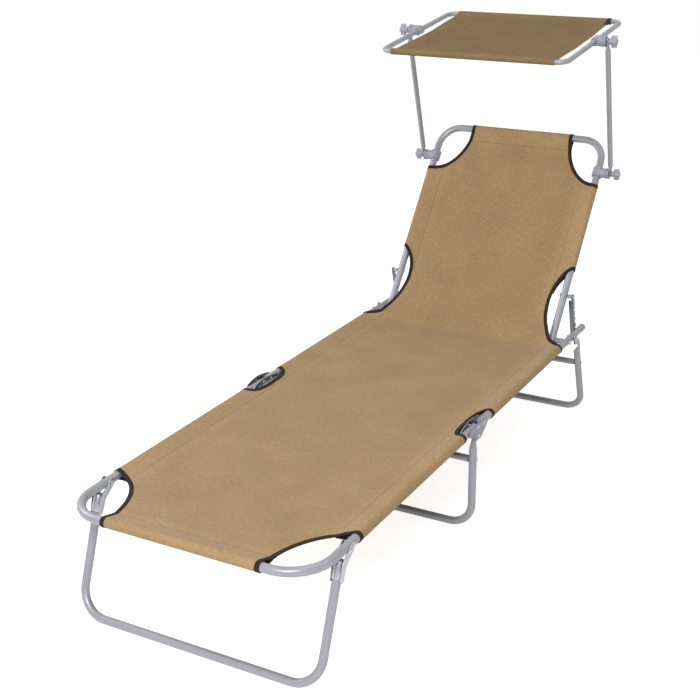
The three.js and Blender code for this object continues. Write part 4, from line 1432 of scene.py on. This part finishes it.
def middle_notch():
    centre, along, deep = 0.717, 0.073, 0.033
    outside = SIDE_X + CLOTH_PAST
    side = quarter(deep, along, 3.2, 16)
    near = [(outside - x, centre - y) for x, y in reversed(side)]
    return near + [(outside - x, centre + y) for x, y in side[1:]]


def foot_notch():
    inner, along = 0.18, 0.168
    outside = SIDE_X + CLOTH_PAST
    curve = quarter(outside - inner, along, 2, 22)
    return [(inner, -0.02)] + [(outside - x, y) for x, y in curve]


def rear_notch():
    points = [(0.2917, 1.240), (0.2855, 1.2435), (0.270, 1.254), (0.250, 1.2685),
              (0.2345, 1.295), (0.220, 1.328), (0.213, 1.362), (0.211, 1.388),
              (0.214, 1.415), (0.2195, 1.435), (0.230, 1.456), (0.243, 1.4715),
              (0.2527, 1.478)]
    return through(points, 5)


def top_notch(stop):
    inner, along = 0.148, 0.130
    outside = BACK_X + CLOTH_PAST
    curve = quarter(outside - inner, along, 2, 20)
    return [(outside - x, stop - y) for x, y in reversed(curve)] + [(inner, stop + 0.02)]


def bed_sleeve():
    return Sleeve(sizes().frame_tube / 2 + 1 * MM, sizes().seam)


def foot_strip():
    sleeve = bed_sleeve()
    line = [bed(0, 0), bed(0, 0.5), bed(0, BED_SPLIT)]
    return Strip(line, 0.0, lambda v: (SIDE_X, sleeve, 1.0),
                 [foot_notch(), middle_notch()], first=sleeve, dip=dip)


def head_line():
    """The cloth's line from the seat, eased over the hinge and up the backrest."""
    a0, a1 = Vector((0, -0.062, 0)), Vector((0, -0.048, 0))
    a2, a3 = BACK_WAY * 0.118, BACK_WAY * 0.195
    hinge = Vector((0, *yz(BACK)))
    line = [bed(0, BED_SPLIT)]
    for i in range(25):
        t = i / 24
        w = 1 - t
        line.append(hinge + a0 * w**3 + a1 * 3 * w * w * t + a2 * 3 * w * t * t + a3 * t**3)
    line.append(back(0, BACK_LENGTH))
    return line


def head_strip():
    sleeve = bed_sleeve()

    def section(v):
        if v < SLEEVES_PART:
            return SIDE_X, sleeve, 1.0
        return BACK_X, sleeve, eased((v - 1.36) / 0.05)

    strip = Strip(head_line(), BED_SPLIT, section, [], last=sleeve, dip=dip)
    strip.notches = [rear_notch(), top_notch(strip.stop)]
    return strip


def canopy_strip():
    sleeve = Sleeve(sizes().canopy_tube / 2 + 0.9 * MM, 0.025, 0.006)
    length = CANOPY_REAR - CANOPY_FRONT
    line = [canopy(0, CANOPY_FRONT + length * i / 12) for i in range(13)]

    def shade_dip(x, along):
        t = (along - CANOPY_FRONT) / length
        between = max(0.0, 4 * t * (1 - t))
        across = 1 - 0.35 * (abs(x) / 0.22) ** 2
        wave = 0.0005 * math.sin(along * 38 + x * 9) * between
        return -0.0055 * between * across + wave

    return Strip(line, CANOPY_FRONT, lambda v: (SHADE_HALF, None, 0.0), [],
                 first=sleeve, last=sleeve, half=SHADE_HALF, dip=shade_dip)


def row_places(strip, spacing):
    """Rows along the cloth: evenly spaced, at its cut-outs' points and round its bars."""
    length = strip.stop - strip.start
    count = max(1, round(length / spacing))
    places = [strip.start + length * i / count for i in range(count + 1)]
    for v in (v for notch in strip.notches for _, v in notch):
        if strip.start < v < strip.stop and min(abs(v - p) for p in places) > 0.0004:
            places.append(v)
    for sleeve, seam, way in (
        (strip.first, strip.low, -1), (strip.last, strip.high, 1),
    ):
        if sleeve:
            places = [p for p in places if (p - seam) * way < -0.001]
            places += [seam + way * s for s in (*sleeve.around(), sleeve.end)]
    return sorted(places)


def flat_point(strip, x, along):
    """The place on the flat pattern of a point on the upper layer of the cloth."""
    centre, sleeve, _ = strip.section(along)
    u, v = x, along
    if sleeve and x > centre - sleeve.seam:
        u = centre - sleeve.seam + sleeve.upper(centre - x)
    if along < strip.low:
        v = strip.low - strip.first.upper(along - strip.start)
    if along > strip.high:
        v = strip.high + strip.last.upper(strip.stop - along)
    return u, v


def side_wrap(strip, notch):
    """The lower layer's edge at a cut-out's first points, from its lap to the fold."""
    wrap = []
    for x, v in notch:
        centre, sleeve, strength = strip.section(v)
        seam = centre - sleeve.seam
        if x < seam or strength < 0.95:
            break
        u, _ = flat_point(strip, x, v)
        wrap.append((2 * seam + sleeve.length - u, v))
    return wrap[::-1]


def bar_wrap(strip, sleeve, seam, way):
    """The lower layer's edge round an end bar, from its lap to the upper seam."""
    wrap = []
    for s in (sleeve.end - 0.0005, *reversed(sleeve.around())):
        v = seam + way * s
        wrap.append((strip.edge(strip.plan(v)[0]), v))
    return wrap


def tape_path(strip, notch, closed):
    """Along a cut-out's edge on the upper layer, and on under the sleeve at both its ends:
    round an end bar where it reaches one. A closed path lies in one side's sleeve."""
    upper = [flat_point(strip, x, v) for x, v in notch if strip.low < v < strip.high]
    start, end = side_wrap(strip, notch), []
    if notch[0][1] < strip.low:
        start = bar_wrap(strip, strip.first, strip.low, -1)
    if notch[-1][1] > strip.high:
        end = bar_wrap(strip, strip.last, strip.high, 1)[::-1]
    elif not closed:
        end = side_wrap(strip, notch[::-1])[::-1]
    return start + upper + end


def make_tapes(label, strip, notch, place, closed=False):
    """The same tape on both sides; place() sets what it rides on."""
    tapes = []
    for name, side in SIDES:
        path = tape_path(strip, notch, closed)
        tape = tape_mesh(f"{label}_tape_{name}", strip, path, side, closed)
        dress(tape, "grosgrain_tape")
        place(tape)
        tapes.append(tape)
    return tapes


def make_bed_cloth():
    def bend_foot(piece):
        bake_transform(piece)

    def bend_back(piece):
        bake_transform(piece)

    foot, head = foot_strip(), head_strip()
    lower = cloth_sheet("bed_cloth_foot", foot, 0.02, "woven_polyester")
    upper = cloth_sheet("bed_cloth_head", head, 0.016, "woven_polyester")
    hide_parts("foot_cloth")
    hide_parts("seat_cloth", "back_cloth")
    bend_foot(lower)
    bend_back(upper)
    foot_cut, middle_cut = foot.notches
    rear_cut, top_cut = head.notches
    tapes = make_tapes("foot_cut", foot, foot_cut,
                       lambda piece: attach(piece, "foot_section"))
    tapes += make_tapes("middle_cut", foot, middle_cut, bend_foot, closed=True)
    flat, area = foot.cut()
    tapes = make_tapes("rear_cut", head, rear_cut, bend_back)
    tapes += make_tapes("top_cut", head, top_cut,
                        lambda piece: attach(piece, "backrest"))
    flat, area = head.cut()


def make_canopy_cloth():
    strip = canopy_strip()
    piece = cloth_sheet("shade_cloth", strip, 0.02, "woven_polyester_shade")
    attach(piece, "canopy")
    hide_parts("canopy_cloth")
    round_bar = (-0.012, 0.0, strip.last.fold, strip.last.end)
    path = [(SHADE_HALF, strip.high + s) for s in round_bar]
    tape = tape_mesh("shade_corner_tape", strip, path, 1)
    dress(tape, "grosgrain_tape")
    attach(tape, "canopy")
    flat, _ = strip.cut()


# Stage


def rays_seen(tree, *rays):
    """1 for these rays and 0 for the light that falls on the lounger."""
    path = add_node(tree, "ShaderNodeLightPath")
    return chain(tree, "MAXIMUM", [path.outputs[ray] for ray in rays])


def make_floor():
    begin()
    bpy.ops.mesh.primitive_plane_add(size=1, location=(0, 0, 0))
    floor = bpy.context.object
    edit_all(floor)
    bpy.ops.transform.resize(value=(14, 14, 1), center_override=(0, 0, 0))
    bpy.ops.mesh.subdivide(number_cuts=2)
    leave_edit()
    floor.name = "floor"
    made = Finish("studio_floor")
    seen = rays_seen(made.tree, "Is Camera Ray", "Is Glossy Ray")
    made.link(figure(made.tree, "MULTIPLY", seen, 0.78), "Emission Strength")
    made.level(Emission_Color=(1, 1, 1, 1), Base_Color=(0.8, 0.8, 0.8, 1),
               Roughness=1.0, Specular_IOR_Level=0.0)
    floor.data.materials.append(made.material)


def make_air():
    """White behind the lounger, and a dimmer white as its ambient light."""
    world = bpy.data.worlds.new("studio_air")
    bpy.context.scene.world = world
    world.use_nodes = True
    tree = world.node_tree
    sky = tree.nodes["Background"]
    seen = rays_seen(tree, "Is Camera Ray", "Is Glossy Ray", "Is Transmission Ray")
    sky.inputs["Color"].default_value = (1, 1, 1, 1)
    tree.links.new(ramp(tree, seen, 0.3, 1.0), sky.inputs["Strength"])


def make_lights():
    for name, place, aim, width, power in (
        ("key_light", (0.9, -3.2, 2.7), (0, 0, 0.5), 1.8, 108),
        ("fill_light", (-3.0, -0.6, 2.4), (0, 0.1, 0.4), 2.0, 45),
        ("top_light", (0.6, 0.6, 3.8), (0, 0.1, 0.3), 2.0, 18),
    ):
        begin()
        bpy.ops.object.light_add(type="AREA", location=place)
        lamp = bpy.context.object
        lamp.name = name
        way = Vector(aim) - Vector(place)
        lamp.rotation_euler = way.to_track_quat("-Z", "Y").to_euler()
        lamp.data.shape = "RECTANGLE"
        lamp.data.size, lamp.data.size_y = width, width * 0.7
        lamp.data.energy = power


def make_camera():
    """The photograph's camera, as it was fitted to the lounger."""
    place = (1.2570, -2.40447, 1.4123)
    yaw, pitch, roll = (math.radians(a) for a in (28.31, 23.73, -0.56))
    # In the photograph's pixels
    photo, focal, centre_x, centre_y = 700, 1224.1, 376.6, 397.0
    ahead = Vector((-math.sin(yaw) * math.cos(pitch), math.cos(yaw) * math.cos(pitch),
                    -math.sin(pitch)))
    right = Vector((math.cos(yaw), math.sin(yaw), 0))
    up = right.cross(ahead)
    c, s = math.cos(roll), math.sin(roll)
    right, up = right * c + up * s, up * c - right * s
    begin()
    bpy.ops.object.camera_add()
    camera = bpy.context.object
    camera.name = "photo_camera"
    turn = Matrix((right, up, -ahead)).transposed().to_4x4()
    camera.matrix_world = Matrix.Translation(place) @ turn
    camera.data.sensor_width = 36
    camera.data.lens = focal / photo * 36
    camera.data.shift_x = -(centre_x - photo / 2) / photo
    camera.data.shift_y = (centre_y - photo / 2) / photo
    camera.data.dof.use_dof = False
    bpy.context.scene.camera = camera
    bpy.context.scene.view_settings.view_transform = "Standard"


# Operators


class LoungerOperator:
    bl_options = {"REGISTER", "UNDO"}
    steps = ()

    def execute(self, context):
        for step in self.steps:
            step()
        return {"FINISHED"}


class LOUNGER_OT_foot_section(LoungerOperator, bpy.types.Operator):
    """Build the foot section's U of tube"""

    bl_idname = "lounger.foot_section"
    bl_label = "Foot section"
    steps = (make_foot_frame,)


class LOUNGER_OT_foot_leg(LoungerOperator, bpy.types.Operator):
    """Build the foot leg, its stamped brackets and their rivets"""

    bl_idname = "lounger.foot_leg"
    bl_label = "Foot leg"
    steps = (make_foot_leg, make_foot_brackets)


class LOUNGER_OT_hinges(LoungerOperator, bpy.types.Operator):
    """Build the middle hinge plates and their rivets"""

    bl_idname = "lounger.hinges"
    bl_label = "Middle hinges"
    steps = (make_hinges,)


class LOUNGER_OT_seat(LoungerOperator, bpy.types.Operator):
    """Build the seat's side tubes and their end caps"""

    bl_idname = "lounger.seat"
    bl_label = "Seat tubes"
    steps = (make_seat_tubes,)


class LOUNGER_OT_middle_leg(LoungerOperator, bpy.types.Operator):
    """Build the middle leg with its flattened ends and its brace"""

    bl_idname = "lounger.middle_leg"
    bl_label = "Middle leg"
    steps = (make_middle_leg,)


class LOUNGER_OT_rear_leg(LoungerOperator, bpy.types.Operator):
    """Build the rear leg with its flattened tabs and its brace"""

    bl_idname = "lounger.rear_leg"
    bl_label = "Rear leg"
    steps = (make_rear_leg,)


class LOUNGER_OT_backrest(LoungerOperator, bpy.types.Operator):
    """Build the backrest's U of tube, its bolts, spacers and notched bars"""

    bl_idname = "lounger.backrest"
    bl_label = "Backrest"
    steps = (make_backrest, make_adjusters)


class LOUNGER_OT_canopy_frame(LoungerOperator, bpy.types.Operator):
    """Build the canopy's loop of tube and its two arms"""

    bl_idname = "lounger.canopy_frame"
    bl_label = "Canopy frame"
    steps = (make_canopy_frame, make_arms)


class LOUNGER_OT_clamps(LoungerOperator, bpy.types.Operator):
    """Build the four swivel clamps and their wing knobs"""

    bl_idname = "lounger.clamps"
    bl_label = "Clamps and knobs"
    steps = (make_clamps,)


class LOUNGER_OT_bed_cloth(LoungerOperator, bpy.types.Operator):
    """Build the long bed cloth with its sleeves, cut-outs and tapes"""

    bl_idname = "lounger.bed_cloth"
    bl_label = "Bed cloth"
    steps = (make_bed_cloth,)


class LOUNGER_OT_canopy_cloth(LoungerOperator, bpy.types.Operator):
    """Build the sunshade's cloth with its sleeves"""

    bl_idname = "lounger.canopy_cloth"
    bl_label = "Canopy cloth"
    steps = (make_canopy_cloth,)


class LOUNGER_OT_stage(LoungerOperator, bpy.types.Operator):
    """Build the floor, the lights and the camera at the photograph's angle"""

    bl_idname = "lounger.stage"
    bl_label = "Studio stage"
    steps = (make_floor, make_air, make_lights, make_camera)


OPERATORS = (
    LOUNGER_OT_foot_section, LOUNGER_OT_foot_leg, LOUNGER_OT_hinges, LOUNGER_OT_seat,
    LOUNGER_OT_middle_leg, LOUNGER_OT_rear_leg, LOUNGER_OT_backrest,
    LOUNGER_OT_canopy_frame, LOUNGER_OT_clamps, LOUNGER_OT_bed_cloth,
    LOUNGER_OT_canopy_cloth, LOUNGER_OT_stage,
)


class LOUNGER_PT_panel(bpy.types.Panel):
    """Sizes, colours and building steps of the lounger"""

    bl_idname = "LOUNGER_PT_panel"
    bl_label = "Sun lounger"
    bl_space_type = "VIEW_3D"
    bl_region_type = "UI"
    bl_category = "Lounger"

    def draw(self, context):
        layout = self.layout
        for group in (context.scene.lounger_sizes, context.scene.lounger_colours):
            box = layout.box()
            for name in group.__annotations__:
                box.prop(group, name)
        for operator in OPERATORS:
            layout.operator(operator.bl_idname)


CLASSES = (LoungerSizes, LoungerColours, *OPERATORS, LOUNGER_PT_panel)


def register():
    for item in CLASSES:
        bpy.utils.register_class(item)
    bpy.types.Scene.lounger_sizes = PointerProperty(type=LoungerSizes)
    bpy.types.Scene.lounger_colours = PointerProperty(type=LoungerColours)


def unregister():
    del bpy.types.Scene.lounger_colours
    del bpy.types.Scene.lounger_sizes
    for item in reversed(CLASSES):
        bpy.utils.unregister_class(item)


def main():
    register()
    for operator in OPERATORS:
        group, name = operator.bl_idname.split(".")
        result = getattr(getattr(bpy.ops, group), name)()
        if result != {"FINISHED"}:
            raise RuntimeError(f"{operator.bl_label} was not built")


if __name__ == "__main__":
    main()
